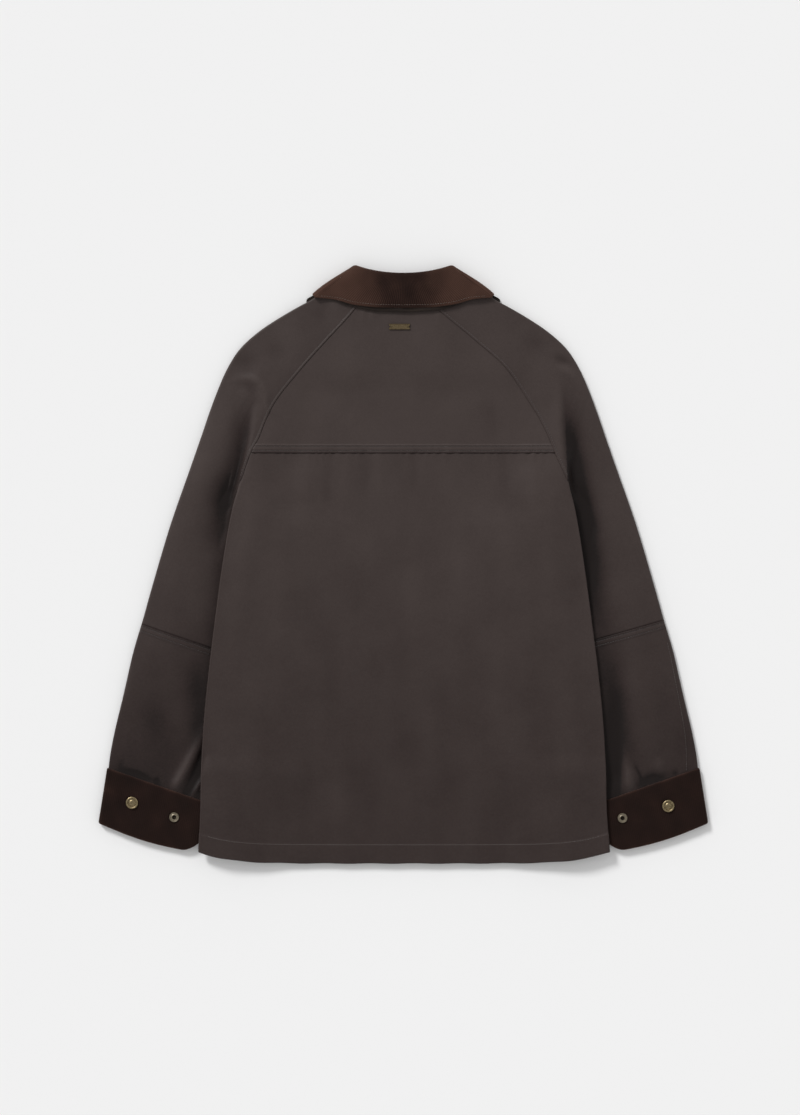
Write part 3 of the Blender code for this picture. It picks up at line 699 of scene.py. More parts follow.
def outer_edge(y):
    return float(outer_x(y)), y


def arm_outer_y(side, fold_y):
    """Where a line across the arm meets its outer edge. Near the elbow it follows that side's seam."""
    elbow_fold, elbow_outer = ELBOW[side]
    shift = elbow_outer - float(ARM.at("outer_y", elbow_fold))
    near = smooth((-23 - fold_y) / (-23 - elbow_fold)) * (1 - smooth((elbow_fold - fold_y) / 60))
    return float(ARM.at("outer_y", fold_y) + shift * near)


def head_lines(side, front_half, step):
    for seam_y in rows_of(NECK_TOP_Y, UNDERARM_Y, step):
        outer_y = float(HEAD.at("outer_y", seam_y))
        inner = front_seam(side, seam_y) if front_half else (float(SIDE.at(side, seam_y)), seam_y)
        overlap = 0.7 * (1 - folded_at(seam_y))
        yield outer_edge(outer_y), (inner[0] - overlap, inner[1]), folded_at(seam_y)


def arm_lines(side, top, bottom, step, fine):
    for y in rows_of(top, bottom, step, fine):
        seam_x = float(SIDE.at(side, y) - 0.4 - UNDERARM_TUCK * smooth((UNDERARM_Y - y) / 14))
        x = mix(float(ARM.at("fold_x", y)), seam_x, float(smooth((y - 56) / 12)))
        yield outer_edge(arm_outer_y(side, y)), (x, y), folded_at(y)


def cuff_end_lines(step):
    last_outer = outer_edge(float(ARM.at("outer_y", ARM_END_Y)))
    start = np.array((*last_outer, ARM.at("fold_x", ARM_END_Y), ARM_END_Y))
    end = np.array((*CUFF_END["outer"], *CUFF_END["inner"]))
    for share in np.linspace(0, 1, int(12 / step) + 2)[1:]:
        outer_x, outer_y, inner_x, inner_y = mix(start, end, share)
        yield (outer_x, outer_y), (inner_x, inner_y), 1.0


def elbow_distance(side, x, y):
    """Distance below the elbow seam, which is a straight line across the sleeve."""
    fold_y, outer_y = ELBOW[side]
    (ax, ay), (bx, by) = outer_edge(outer_y), (float(ARM.at("fold_x", fold_y)), fold_y)
    return -((y - ay) * (ax - bx) - (np.abs(x) - ax) * (ay - by)) / math.hypot(bx - ax, by - ay)


def sleeve_half(name, side, layer, lines, step, lower):
    sign = SIGN[side]
    placed = [((sign * a, b), (sign * c, d), (1.0, fold)) for (a, b), (c, d), fold in lines]
    cloth = Layer(placed, step, sleeve_heights, layer)
    x, y = cloth.x, cloth.y
    below = elbow_distance(side, x, y)
    across = x * 0.93 * sign
    if layer > 0:
        seam = lap(cloth.from_end) + groove(cloth.from_end, (RAGLAN_STITCH,))
        rise = (sleeve_puff(x, y) + crease_heights(x, y, BACK_CREASES) + soft_unevenness(x, y)
                + seam * (1 - cloth.end_fold))
        if lower:
            rise = rise + (lap(below, DOUBLE_STITCH[1] + 1) + groove(below, DOUBLE_STITCH)
                           + 0.38 * puckers(across, below, 8, 8.5))
            if side == "right":
                rise = rise + overarm_seam(cloth)
        else:
            rise = rise - LAP_SINK * (1 - smooth(-below / 3)) + 0.3 * puckers(across, -below, 7, 8.5)
        above = above_cuff(x, y)
        cloth.add(rise * np.where(rise > 0, smooth((above - 2) / 8), smooth(above / 4)))
        tone = painted_shade_and_wear(cloth) + ELBOW_SHADE * seam_shade(below)
    else:
        uneven = crease_heights(x, y, FRONT_CREASES) + 0.4 * np.abs(ripple(x, y, 70, 21))
        cloth.add(np.maximum(uneven, 0) * (np.abs(x) > by_side(SIDE, x, y)))
        tone = 0.4 * ripple(x, y, 60, 4)
    return shell(name, cloth.grid(), WALL, WAXED, facing=layer, tone=tone)


def overarm_seam(cloth):
    """The seam that shows on the right sleeve below the elbow, beside its outer edge."""
    off = cloth.from_start - OVERARM.at("inset", cloth.y)
    return 0.5 * (smooth(off / 0.8) - smooth((off - 2.4) / 2.5)) - 0.45 * bell(off, 0.7)


def sleeve(side):
    elbow_y = ELBOW[side][0]
    made = {}
    for half, layer, step in (("back", 1, GRID), ("front", -1, UNDER_GRID)):
        fine = (elbow_y + 2,) if layer > 0 else ()
        upper = list(head_lines(side, layer < 0, step))
        upper += list(arm_lines(side, UNDERARM_Y - step / 2, elbow_y - 0.8, step, fine))
        fine = (elbow_y - 4, elbow_y - 9) if layer > 0 else ()
        lower = list(arm_lines(side, elbow_y, ARM_END_Y, step, fine)) + list(cuff_end_lines(step))
        for part, lines in (("upper", upper), ("lower", lower)):
            name = f"sleeve_{half}_{part}_{side}"
            made[name] = sleeve_half(name.replace("sleeve_", "arm_cloth_"), side, layer, lines, step,
                                     part == "lower")
    return made


# Painted shadow in the cloth's colour, where the body's raised edge shades the sleeve beside it.
def valley_shade(side, y, past_body):
    row = VALLEY[side]
    strength = row["strength"] - row["loss"] * smooth((row["fade_y"] - y) / row["fade_over"])
    starts = smooth((UNDERARM_Y + row["above"] - y) / row["over"])
    return strength * starts * bell(np.maximum(past_body, 0), row["reach"]) * (past_body > -0.4)


def painted_shade_and_wear(cloth):
    """Painted light and shade in the cloth's colour: lighter where it stands up, partly a painted highlight
    and partly the wax rubbed off, painted shade in its hollows, painted shadow on the sleeves beside the
    body, and darker towards the hem and the cuffs."""
    x, y = cloth.x, cloth.y
    past_body = np.abs(x) - np.where(y > UNDERARM_Y, by_side(RIDGE, x, y), by_side(SIDE, x, y))
    on_body = (past_body < 0) & (y < UNDERARM_Y)
    creases = crease_heights(x, y, BACK_CREASES) * np.where(on_body, smooth((-past_body - 6) / 16), 1)
    hollows = np.clip(np.where(creases < 0, HOLLOW_SHADE, RIDGE_LIGHT) * creases, *SHADE_LIMITS)
    beside = np.where(x < 0, valley_shade("left", y, past_body), valley_shade("right", y, past_body))
    arm = np.where(x < 0, LOW_SHADE["left"], LOW_SHADE["right"])
    low = smooth((120 - y) / 480) * np.where(past_body > 0, arm, LOW_SHADE["body"])
    streaks = 0.07 * ripple(x, y / 5, 38, 31) * smooth((YOKE_Y - y) / 4)
    return hollows - beside - low + streaks + 0.1 * ripple(x, y, 70, 32)


def seam_shade(distance):
    """Painted shade in the cloth's colour: the dark line in the shadow of a seam whose upper cloth starts at
    distance 0, and along its two rows of stitches.
    """
    rows = sum(bell(distance - place, 1.1) for place in DOUBLE_STITCH)
    return -0.45 * rows - 1.1 * bell(distance + 0.5, 1.2)


# Corduroy

def wale_relief(phase):
    """Height and tone of the ribs: the tone is painted light on each rib and painted shade in the grooves
    between them. phase counts them.
    """
    rib = np.abs(np.cos(math.pi * phase)) ** 0.6
    return WALE_HEIGHT * rib, rib - 0.65


def cuff_edge(t, width):
    """How far the cuff's lower edge stands out from a straight line at t across it."""
    past = np.maximum(0, 1 - (1 - t) * width / CUFF_CORNER)
    return CUFF_BULGE * np.sin(math.pi * t) - CUFF_CORNER_RISE * past ** 2


def stadium(s, width, radius):
    """Across and up at s along a flat ring: over its top, round its end, back below and round again."""
    flat, arc = width - 2 * radius, math.pi * radius
    s = s % (2 * (flat + arc))
    over, end, under = s < flat, (s >= flat) & (s < flat + arc), (s >= flat + arc) & (s < 2 * flat + arc)
    angle = np.where(end, (s - flat) / radius, (s - 2 * flat - arc) / radius + math.pi)
    across = np.where(over, radius + s, np.where(under, width - radius - (s - flat - arc),
                      np.where(end, width - radius, radius) + radius * np.sin(angle)))
    up = np.where(over, radius, np.where(under, -radius, radius * np.cos(angle)))
    return across, up


def pressed(x, y, nodes):
    """1 on bare cloth and less close to the metal pieces that are pressed into it."""
    share = np.ones_like(x)
    for node in nodes:
        place, radius = centre_of(node), radius_of(node)
        share *= smooth((np.hypot(x - place.x, y - place.y) - radius) / 2.2)
    return share


def cuff(side):
    sign = SIGN[side]
    corner = {name: np.array((sign * x, y)) for name, (x, y) in CUFF.items()}
    radius = (CUFF_LOFT + CUFF_WALL) / 2
    half_round = CUFF_WALL / 2
    first = math.dist(corner["top_outer"], corner["top_inner"]) - CUFF_WALL
    around = 2 * (first - 2 * radius + math.pi * radius)
    ribs = round(around / WALE)
    phase = np.arange(ribs * WALE_STEPS) / WALE_STEPS
    downs = np.concatenate(((0, 0.015, 0.04), np.linspace(0.08, 0.92, 19), (0.96, 0.985, 1)))
    rows = []
    for down in downs:
        start = mix(corner["top_outer"], corner["low_outer"], down)
        end = mix(corner["top_inner"], corner["low_inner"], down)
        width = math.dist(start, end)
        along = (end - start) / width
        down_arm = np.array((-along[1], along[0])) * sign
        inner = width - CUFF_WALL
        length = 2 * (inner - 2 * radius + math.pi * radius)
        across, up = stadium(phase / ribs * length, inner, radius)
        across = across + half_round
        sag = cuff_edge(across / width, width) * down ** 2
        place = start + along * across[:, None] + down_arm * sag[:, None]
        rows.append(np.column_stack((place, up + radius + CUFF_WALL / 2)))
    grid = np.array(rows)
    x, y = grid[..., 0], grid[..., 1]
    top = grid[..., 2] > radius + CUFF_WALL / 2
    dents = (0.5 * ripple(x, y, 46, 41 + sign) + 0.25 * ripple(x, y, 17, 44)) * top
    bare = pressed(x, y, (f"cuff_cap_{side}", f"cuff_socket_{side}"))
    edge = smooth(np.minimum(downs, 1 - downs) / 0.03)[:, None]
    level = smooth((grid[..., 2] - radius - CUFF_WALL / 2) / radius)
    grid[..., 2] += level * (dents - PRESSED_DEPTH * (1 - bare))
    height, tone = wale_relief(np.broadcast_to(phase, x.shape))
    bare = np.where(top, bare, 1)
    # The ribs' tone here is painted light on them and painted shade between them.
    tone = 0.5 * tone * edge + 0.45 * (1 - edge) + 0.16 * ripple(x, y, 30, 47) - 0.28
    return shell(f"cuff_cloth_{side}", grid, CUFF_WALL, CORDUROY, ring=True, bulge=0.5,
                 relief=CUFF_RIB * height * edge * (0.3 + 0.7 * bare), tone=tone)


# Collar

def collar_place(q):
    """Half, table, t and turn at q, from one front end (0) round the side fold and back to the other (6)."""
    sign, q = (-1, q) if q < 3 else (1, 6 - q)
    if q < 1:
        return sign, COLLAR_FRONT, 1 - q, 180
    if q < 2:
        return sign, COLLAR_BACK, 0, 180 * (2 - q)
    return sign, COLLAR_BACK, q - 2, 0


def plan(sign, table, t, part):
    return Vector((sign * float(table.at(part + "_x", t)), float(table.at(part + "_y", t)),
                   COLLAR_MIDDLE_Z))


def collar_row(q, out, steps, reach=0.0):
    """Points of one cloth of the collar at one place: up the stand, round the roll and down the fall.
    out is how far the cloth lies towards the corduroy side of the collar's middle surface."""
    sign, table, t, turn = collar_place(q)
    neck, roll, edge = (plan(sign, table, t, part) for part in ("neck", "roll", "edge"))
    sides = [plan(sign, COLLAR_BACK, 0, part) for part in ("neck", "roll", "edge")]
    angle = math.radians(turn)
    normals = []
    for a, b in (sides[:2], sides[1:]):
        crease = (b - a).normalized()
        outward = Vector((-crease.y, crease.x, 0))
        outward = outward if outward.x * sign > 0 else -outward
        normals.append(outward * math.sin(angle) + Vector((0, 0, math.cos(angle))))
    stand, fall = normals
    radius, middle = (FALL_HALF - STAND_HALF) / 2, (FALL_HALF + STAND_HALF) / 2
    up = ((roll - neck).normalized() + (roll - edge).normalized()).normalized()
    down = (edge - roll).normalized()
    row = [neck.lerp(roll, i / steps["stand"]) + stand * (STAND_HALF - out) for i in range(steps["stand"])]
    for step in range(steps["roll"] + 1):
        share = step / steps["roll"]
        normal = stand.lerp(fall, share).normalized()
        row.append(roll + normal * (middle - math.cos(math.pi * share) * (radius + out))
                   + up * math.sin(math.pi * share) * (radius + out))
    for place in steps["fall"]:
        row.append(roll.lerp(edge + down * reach, place) + fall * (FALL_HALF + out))
    return row


def collar_columns(step):
    """Places round the collar at equal distances along the middle of its fall."""
    qs = np.linspace(0, 6, 481)
    middles = [collar_row(q, 0, {"stand": 1, "roll": 1, "fall": (0.6,)})[-1] for q in qs]
    lengths = np.concatenate(([0], np.cumsum([(b - a).length for a, b in zip(middles, middles[1:])])))
    count = int(lengths[-1] / step)
    return np.interp(np.linspace(0, lengths[-1], count + 1), lengths, qs), lengths[-1] / count


def back_share(q):
    """1 on the back of the collar, and less towards its side folds."""
    return smooth((q - 2.2) / 0.6) * smooth((3.8 - q) / 0.6)


def collar_top():
    columns, pitch = collar_columns(WALE / WALE_STEPS)
    steps = {"stand": 3, "roll": 7, "fall": (*np.linspace(0.07, 0.9, 12), *FALL_EDGE)}
    out = CORD_WALL / 2 + REST_GAP / 2
    grid = np.array([collar_row(q, out, steps, -CORD_SHORT * float(back_share(q))) for q in columns])
    grid = grid.transpose(1, 0, 2)
    grid = rounded(grid, columns, pitch)
    x, y = grid[..., 0], grid[..., 1]
    rows = grid.shape[0]
    fall = smooth((np.arange(rows) - steps["stand"] - 2) / 4)[:, None] * (columns > 2) * (columns < 4)
    shows = smooth((np.arange(rows) - 2) / 3)[:, None] * (columns > 1) * (columns < 5)
    edge = np.ones(rows)
    edge[-3:] = (0.8, 0.5, 0.0)
    edge = edge[:, None]
    uneven = 0.5 * ripple(x, y, 42, 51) + 0.22 * ripple(x, y, 16, 52)
    near_edge = np.linspace(0, 1, rows)[:, None] ** 6
    grid[..., 2] += fall * (uneven + 0.5 * near_edge * np.sin(x / 7.0 + np.sin(x / 13)))
    stitched = groove(np.linalg.norm(grid[-1] - grid, axis=2), (COLLAR_STITCH,))
    # The ribs' tone is painted light on them and painted shade between them.
    height, tone = wale_relief(np.arange(len(columns)) * pitch / WALE)
    tone = tone * edge + 0.2 * (1 - edge)
    # Painted sheen: the corduroy is made lighter towards the collar's sides, where its nap catches more
    # light, and a little darker in the middle.
    painted_side_sheen = 0.95 * smooth((np.abs(x) - 5) / 70) - 0.12
    return shell("collar_cloth", grid, CORD_WALL, CORDUROY, facing=facing_of(grid),
                 relief=height * edge + stitched * fall,
                 tone=tone + painted_side_sheen * shows + 0.12 * ripple(x, y, 25, 53))


def rounded(grid, columns, pitch):
    """The collar with the peaks of its roll rounded, and its free corners left as they are."""
    reach = int(ROLL_ROUND / pitch)
    weights = np.hanning(2 * reach + 3)[1:-1]
    padded = np.pad(grid, ((0, 0), (reach, reach), (0, 0)), mode="edge")
    averaged = sum(w * padded[:, i:i + grid.shape[1]] for i, w in enumerate(weights)) / weights.sum()
    place = np.linspace(0, 1, grid.shape[0])[:, None, None]
    back = smooth((columns - 0.8) / 0.5) * smooth((5.2 - columns) / 0.5)
    return mix(grid, averaged, (1 - smooth((place - 0.3) / 0.55)) * back[:, None])


def facing_of(grid):
    """Which way the corduroy faces, so that its ribs stand on the outside of the fall."""
    normals = cloth_normals(grid, False)
    back = np.abs(grid[..., 0]) < 20
    high = grid[..., 2] > COLLAR_MIDDLE_Z + FALL_HALF - 0.5
    return float(np.sign(normals[back & high][:, 2].sum()) * np.sign(normals[..., 2].sum()))


def collar_under():
    columns, pitch = collar_columns(GRID / 2)
    steps = {"stand": 5, "roll": 6, "fall": (*np.linspace(0.08, 0.92, 12), *FALL_EDGE)}
    out = -UNDER_WALL / 2 - REST_GAP / 2
    rows = []
    for q in columns:
        rows.append(collar_row(q, out, steps, 0.5 + 0.3 * math.sin(q * 17) * float(back_share(q))))
    grid = rounded(np.array(rows).transpose(1, 0, 2), columns, pitch)
    near_edge = smooth((np.linspace(0, 1, len(grid)) - 0.55) / 0.4)[:, None]
    tip = near_edge * (bell(columns - 0.95, 0.42) + bell(columns - 5.05, 0.42))
    grid[..., 0] += TIP_SHOWS * 0.44 * tip * np.sign(grid[..., 0])
    grid[..., 1] += TIP_SHOWS * 0.9 * tip
    x, y = grid[..., 0], grid[..., 1]
    return shell("under_collar_cloth", grid, UNDER_WALL, WAXED_SHADED,
                 tone=0.3 * ripple(x, y, 40, 61))


# Stitches

def ring_faces(rings, count):
    """Faces between rings of points, each of count points, that follow each other."""
    faces = []
    for i in range(rings - 1):
        for j in range(count):
            k = (j + 1) % count
            faces.append((i * count + j, i * count + k, (i + 1) * count + k, (i + 1) * count + j))
    return faces


def stitch_mesh():
    """One stitch along X: a thread that comes up, lies on the cloth and goes down again."""
    rings, sides = 5, 6
    points = []
    for i in range(rings):
        t = -1 + 2 * i / (rings - 1)
        thin = STITCH["radius"] * math.sqrt(1.05 - t * t * 0.75)
        for j in range(sides):
            a = 2 * math.pi * j / sides
            up = thin * math.sin(a) + 0.22 - 0.3 * t * t
            points.append((t * STITCH["length"] / 2, thin * math.cos(a), up))
    faces = ring_faces(rings, sides)
    faces += [tuple(range(sides))[::-1], tuple(range((rings - 1) * sides, rings * sides))]
    return np.array(points), faces


def surface_of(objects):
    points, faces = [], []
    for thing in objects:
        start = len(points)
        points += [v.co / MM for v in thing.data.vertices]
        faces += [[start + i for i in f.vertices] for f in thing.data.polygons]
    return BVHTree.FromPolygons(points, faces)


def stitches(name, paths, surface, look, below=False):
    """Rows of stitches on a surface along paths in plan, joined in one piece."""
    shape, shape_faces = stitch_mesh()
    points, faces = [], []
    aim = Vector((0, 0, 1)) if below else Vector((0, 0, -1))
    for path in paths:
        path = np.asarray(path, float)
        lengths = np.concatenate(([0], np.cumsum(np.linalg.norm(np.diff(path, axis=0), axis=1))))
        places = np.arange(STITCH["pitch"] / 2, lengths[-1], STITCH["pitch"])
        for place in places:
            ends = [np.interp(place + shift, lengths, path[:, axis]) for shift in (-1, 1) for axis in (0, 1)]
            x, y = (ends[0] + ends[2]) / 2, (ends[1] + ends[3]) / 2
            hit, normal, _, _ = surface.ray_cast(Vector((x, y, -40 if below else 60)), aim)
            if hit is None:
                continue
            normal = normal if normal.dot(aim) < 0 else -normal
            along = Vector((ends[2] - ends[0], ends[3] - ends[1], 0)).normalized()
            along = (along - normal * along.dot(normal)).normalized()
            frame = np.array((along, normal.cross(along), normal))
            start = len(points) * len(shape)
            points.append(shape @ frame + np.array(hit))
            faces += [[start + i for i in face] for face in shape_faces]
    return put(name, mesh_of(name, np.concatenate(points), faces), look)


def offset_path(path, distance):
    """A path moved sideways, to its left for a distance above 0."""
    path = np.asarray(path, float)
    along = np.gradient(path, axis=0)
    along /= np.linalg.norm(along, axis=1, keepdims=True)
    return path + distance * np.column_stack((-along[:, 1], along[:, 0]))


def yoke_paths():
    for distance in DOUBLE_STITCH:
        y = YOKE_Y + distance
        yield [(-float(SIDE.at("left", y)) + 2, y), (float(SIDE.at("right", y)) - 2, y)]


def raglan_paths():
    for side, sign in SIGN.items():
        seam = [(sign * float(SIDE.at(side, y)), y) for y in np.linspace(NECK_TOP_Y - 8, UNDERARM_Y + 4, 60)]
        yield offset_path(seam, sign * (RAGLAN_STITCH - 0.7))


def elbow_paths(side):
    fold_y, outer_y = ELBOW[side]
    outer = np.array(outer_edge(outer_y))
    inner = np.array((float(ARM.at("fold_x", fold_y)), fold_y))
    along = (inner - outer) / np.linalg.norm(inner - outer)
    down_arm = np.array((-along[1], along[0]))
    for distance in DOUBLE_STITCH:
        ends = [outer + along * reach + down_arm * distance for reach in ELBOW_STITCHES]
        yield [(SIGN[side] * x, y) for x, y in ends]


def overarm_path():
    return [(float(outer_x(y) - OVERARM.at("inset", y)) - 1.8, y) for y in np.linspace(-100, -262, 40)]


def hem_path():
    end = HALF_HEM - 12
    xs = np.linspace(-end, end, 90)
    return [(x, float(hem_y(x)) + HEM_DEPTH) for x in xs]


def collar_path():
    columns = np.linspace(2.05, 3.95, 120)
    return [(p.x, p.y) for p in (collar_stitch_point(q) for q in columns)]


def collar_stitch_point(q):
    row = collar_row(q, 0, {"stand": 1, "roll": 1, "fall": (0.5, 1.0)})
    inset = COLLAR_STITCH + CORD_SHORT * float(back_share(q))
    return row[-1] + (row[-2] - row[-1]).normalized() * inset


def lap_paths():
    for inset in (4, 34):
        yield [(-HALF_LAP + inset, 250), (-HALF_LAP + inset, -372)]


# Metal

def centre_of(node):
    low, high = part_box(node)
    return (Vector(low) + Vector(high)) / 2 / MM


def radius_of(node):
    low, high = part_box(node)
    return (high[0] - low[0]) / 2 / MM


def turned(profile, steps=56):
    """Points and faces of a closed profile of radius and height, swept round Z."""
    angles = np.linspace(0, 2 * math.pi, steps, endpoint=False)
    points, faces = [], []
    for r, z in profile:
        points += [(r * math.cos(a), r * math.sin(a), z) for a in angles]
    for i in range(len(profile)):
        below = (i + 1) % len(profile)
        for j in range(steps):
            k = (j + 1) % steps
            faces.append((i * steps + j, below * steps + j, below * steps + k, i * steps + k))
    return points, faces


def bumps(count, ring, radius, z):
    """Small round beads in a ring."""
    points, faces = [], []
    for i in range(count):
        a = 2 * math.pi * i / count
        start = len(points)
        profile = [(radius * math.cos(b), radius * math.sin(b)) for b in np.radians((0, 30, 60, 88))]
        bead, bead_faces = turned([(0.02, -0.1), (radius, -0.1)] + profile, 8)
        points += [(x + ring * math.cos(a), y + ring * math.sin(a), h + z) for x, y, h in bead]
        faces += [tuple(start + v for v in face) for face in bead_faces]
    return points, faces


def joined(*meshes):
    points, faces = [], []
    for some, their in meshes:
        start = len(points)
        points += some
        faces += [tuple(start + v for v in face) for face in their]
    return points, faces


def set_down(name, mesh, node, look, down=False):
    """A metal piece on its node's place, turned over where it faces down."""
    low, high = (Vector(corner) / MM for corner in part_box(node))
    points, faces = mesh
    base = high.z if down else low.z
    flip = -1 if down else 1
    middle = (low + high) / 2
    placed = [(middle.x + x, middle.y + flip * y, base + flip * z) for x, y, z in points]
    made = put(name, mesh_of(name, placed, [list(f) for f in faces]), look)
    made.data.set_sharp_from_angle(angle=math.radians(42))
    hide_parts(node)


def cap(name, node, height, down=False):
    r = radius_of(node)
    dome = [(0.02, 0.72), (0.22, 0.74), (0.4, 0.66), (0.48, 0.3), (0.53, 0.16), (0.66, 0.18), (0.7, 0.62),
            (0.76, 0.94), (0.84, 1.0), (0.93, 0.88), (0.99, 0.55), (1.0, 0.3), (0.96, 0.02), (0.9, 0.0),
            (0.02, 0.0)]
    profile = [(r * a, height * b) for a, b in dome]
    beads = bumps(18, r * 0.595, r * 0.045, height * 0.2)
    set_down(name, joined(turned(profile), beads), node, BRASS, down)


def socket(side):
    node = f"cuff_socket_{side}"
    r, height = radius_of(node), 1.3
    ring = [(0.4, 0.1), (0.39, 0.6), (0.43, 0.95), (0.5, 1.0), (0.56, 0.85), (0.62, 0.6), (0.72, 0.58),
            (0.8, 0.72), (0.88, 0.9), (0.95, 0.8), (1.0, 0.4), (0.97, 0.05), (0.9, 0.0), (0.42, 0.0)]
    ring = turned([(r * a, height * b) for a, b in ring])
    beads = bumps(10, r * 0.67, r * 0.05, height * 0.56)
    set_down(f"snap_socket_{side}", joined(ring, beads), node, SOCKET_BRASS)
    place = centre_of(node)
    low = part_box(node)[0][2] / MM
    well = turned([(0.02, 0.12), (r * 0.3, 0.12), (r * 0.41, 0.3), (r * 0.41, 0.0), (0.02, 0.0)], 32)
    points = [(place.x + x, place.y + y, low + z) for x, y, z in well[0]]
    name = f"snap_well_{side}"
    put(name, mesh_of(name, points, [list(f) for f in well[1]]), DARK_METAL)


def inset(outline, distance):
    """An outline moved in by a distance, corner by corner."""
    outline = [Vector(p) for p in outline]
    moved = []
    for before, here, after in zip(outline[-1:] + outline[:-1], outline, outline[1:] + outline[:1]):
        normals = [Vector((-(b - a).y, (b - a).x)).normalized() for a, b in ((before, here), (here, after))]
        mean = (normals[0] + normals[1]).normalized()
        moved.append(here + mean * distance / max(0.5, mean.dot(normals[0])))
    return moved


def nameplate():
    low, high = (Vector(corner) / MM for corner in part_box("nameplate"))
    w, h, thick = (high.x - low.x) / 2, (high.y - low.y) / 2, high.z - low.z
    notch = 1.9
    outline = [(-w, -h), (w, -h), (w - notch * 0.25, -h * 0.35), (w - notch, 0), (w - notch * 0.25, h * 0.35),
               (w, h), (-w, h), (notch * 0.25 - w, h * 0.35), (notch - w, 0), (notch * 0.25 - w, -h * 0.35)]
    rings = [(0.15, 0), (0, 0.2), (0, thick - 0.25), (0.22, thick), (0.75, thick), (0.95, thick - 0.4)]
    points, count = [], len(outline)
    for distance, z in rings:
        points += [(p.x, p.y, z) for p in inset(outline, distance)]
    faces = [tuple(range(count))[::-1], tuple(range((len(rings) - 1) * count, len(rings) * count))]
    plate = (points, faces + ring_faces(len(rings), count))
    pins = []
    for sign in (-1, 1):
        pin, pin_faces = turned([(0.02, 0.5), (0.4, 0.42), (0.62, 0.1), (0.62, -0.3), (0.02, -0.3)], 20)
        pins.append(([(x + sign * (w - notch - 1.9), y, z + thick - 0.4) for x, y, z in pin], pin_faces))
    set_down("plate", joined(plate, *pins), "nameplate", PLATE_BRASS)


# Materials

def shader(name):
    made = bpy.data.materials.new(name)
    made.use_nodes = True
    tree = made.node_tree
    return made, tree, tree.nodes["Principled BSDF"]


def add(tree, kind, inputs=None, **settings):
    """A node with its settings and inputs. An input that is a socket is linked."""
    made = tree.nodes.new(kind)
    for key, value in settings.items():
        setattr(made, key, value)
    for key, value in (inputs or {}).items():
        if isinstance(value, bpy.types.NodeSocket):
            tree.links.new(value, made.inputs[key])
        else:
            made.inputs[key].default_value = value
    return made


def noise(tree, place, scale, detail=3.0, rough=0.55):
    return add(tree, "ShaderNodeTexNoise", {"Vector": place, "Scale": scale, "Detail": detail,
                                            "Roughness": rough}).outputs["Fac"]


def maths(tree, operation, a, b=0.0):
    return add(tree, "ShaderNodeMath", {0: a, 1: b}, operation=operation).outputs[0]


def weighted(tree, terms):
    """The sum of weight * (value - middle) over the terms."""
    total = 0.0
    for value, middle, weight in terms:
        part = maths(tree, "MULTIPLY", maths(tree, "SUBTRACT", value, middle), weight)
        total = maths(tree, "ADD", part, total)
    return total


def blend(tree, share, *stops):
    ramp = add(tree, "ShaderNodeValToRGB", {0: share})
    elements = ramp.color_ramp.elements
    while len(elements) < len(stops):
        elements.new(0.5)
    for element, (place, colour) in zip(elements, stops):
        element.position = place
        element.color = (*colour, 1)
    return ramp.outputs["Color"]


def bump(tree, height, strength, distance, normal=None):
    inputs = {"Height": height, "Strength": strength, "Distance": distance}
    if normal is not None:
        inputs["Normal"] = normal
    return add(tree, "ShaderNodeBump", inputs).outputs["Normal"]


def object_place(tree):
    return add(tree, "ShaderNodeTexCoord").outputs["Object"]


def tone_of(tree):
    return add(tree, "ShaderNodeAttribute", attribute_name="tone").outputs["Fac"]


def weave(tree, place, pitch):
    """A fine twill: crossing bands, a pitch in metres apart."""
    inputs = {"Vector": place, "Scale": math.pi / (10 * pitch), "Distortion": 1.2, "Detail": 1.0,
              "Detail Scale": 2.0}
    bands = [add(tree, "ShaderNodeTexWave", inputs, bands_direction=direction).outputs["Fac"]
             for direction in ("X", "Y", "DIAGONAL")]
    return maths(tree, "ADD", maths(tree, "MULTIPLY", bands[0], bands[1]), bands[2])


def set_inputs(bsdf, **values):
    for key, value in values.items():
        bsdf.inputs[key.replace("_", " ")].default_value = value


def waxed_cotton(name, dark, middle, light, rough=0.52):
    made, tree, bsdf = shader(name)
    place = object_place(tree)
    large, mid = noise(tree, place, 11, 3), noise(tree, place, 65, 5, 0.6)
    small, fine = noise(tree, place, 330, 4, 0.65), noise(tree, place, 1900, 2)
    # The tone attribute brings in painted light and shade from the folds, valleys and seams along with uneven
    # colour; the ramp's darkest stop is painted shade.
    share = weighted(tree, ((large, 0.5, 0.1), (mid, 0.5, 0.1), (small, 0.5, 0.18), (fine, 0.5, 0.3),
                            (tone_of(tree), 0, 0.3)))
    share = maths(tree, "ADD", share, 0.5)
    deepest_painted_shade = tuple(0.35 * part for part in dark)
    colour = blend(tree, share, (0.0, deepest_painted_shade), (0.22, dark), (0.5, middle), (0.9, light))
    tree.links.new(colour, bsdf.inputs["Base Color"])
    gloss = maths(tree, "ADD", weighted(tree, ((mid, 0.5, -0.15), (small, 0.5, 0.15))), rough)
    tree.links.new(gloss, bsdf.inputs["Roughness"])
    coarse = bump(tree, weighted(tree, ((mid, 0.5, 0.7), (small, 0.5, 0.6))), 0.3, 0.0006)
    tree.links.new(bump(tree, weave(tree, place, 0.0007), 0.3, 0.00012, coarse), bsdf.inputs["Normal"])
    set_inputs(bsdf, Sheen_Weight=0.05, Sheen_Roughness=0.45, Sheen_Tint=(0.9, 0.7, 0.64, 1),
               Specular_IOR_Level=0.15)
    return made


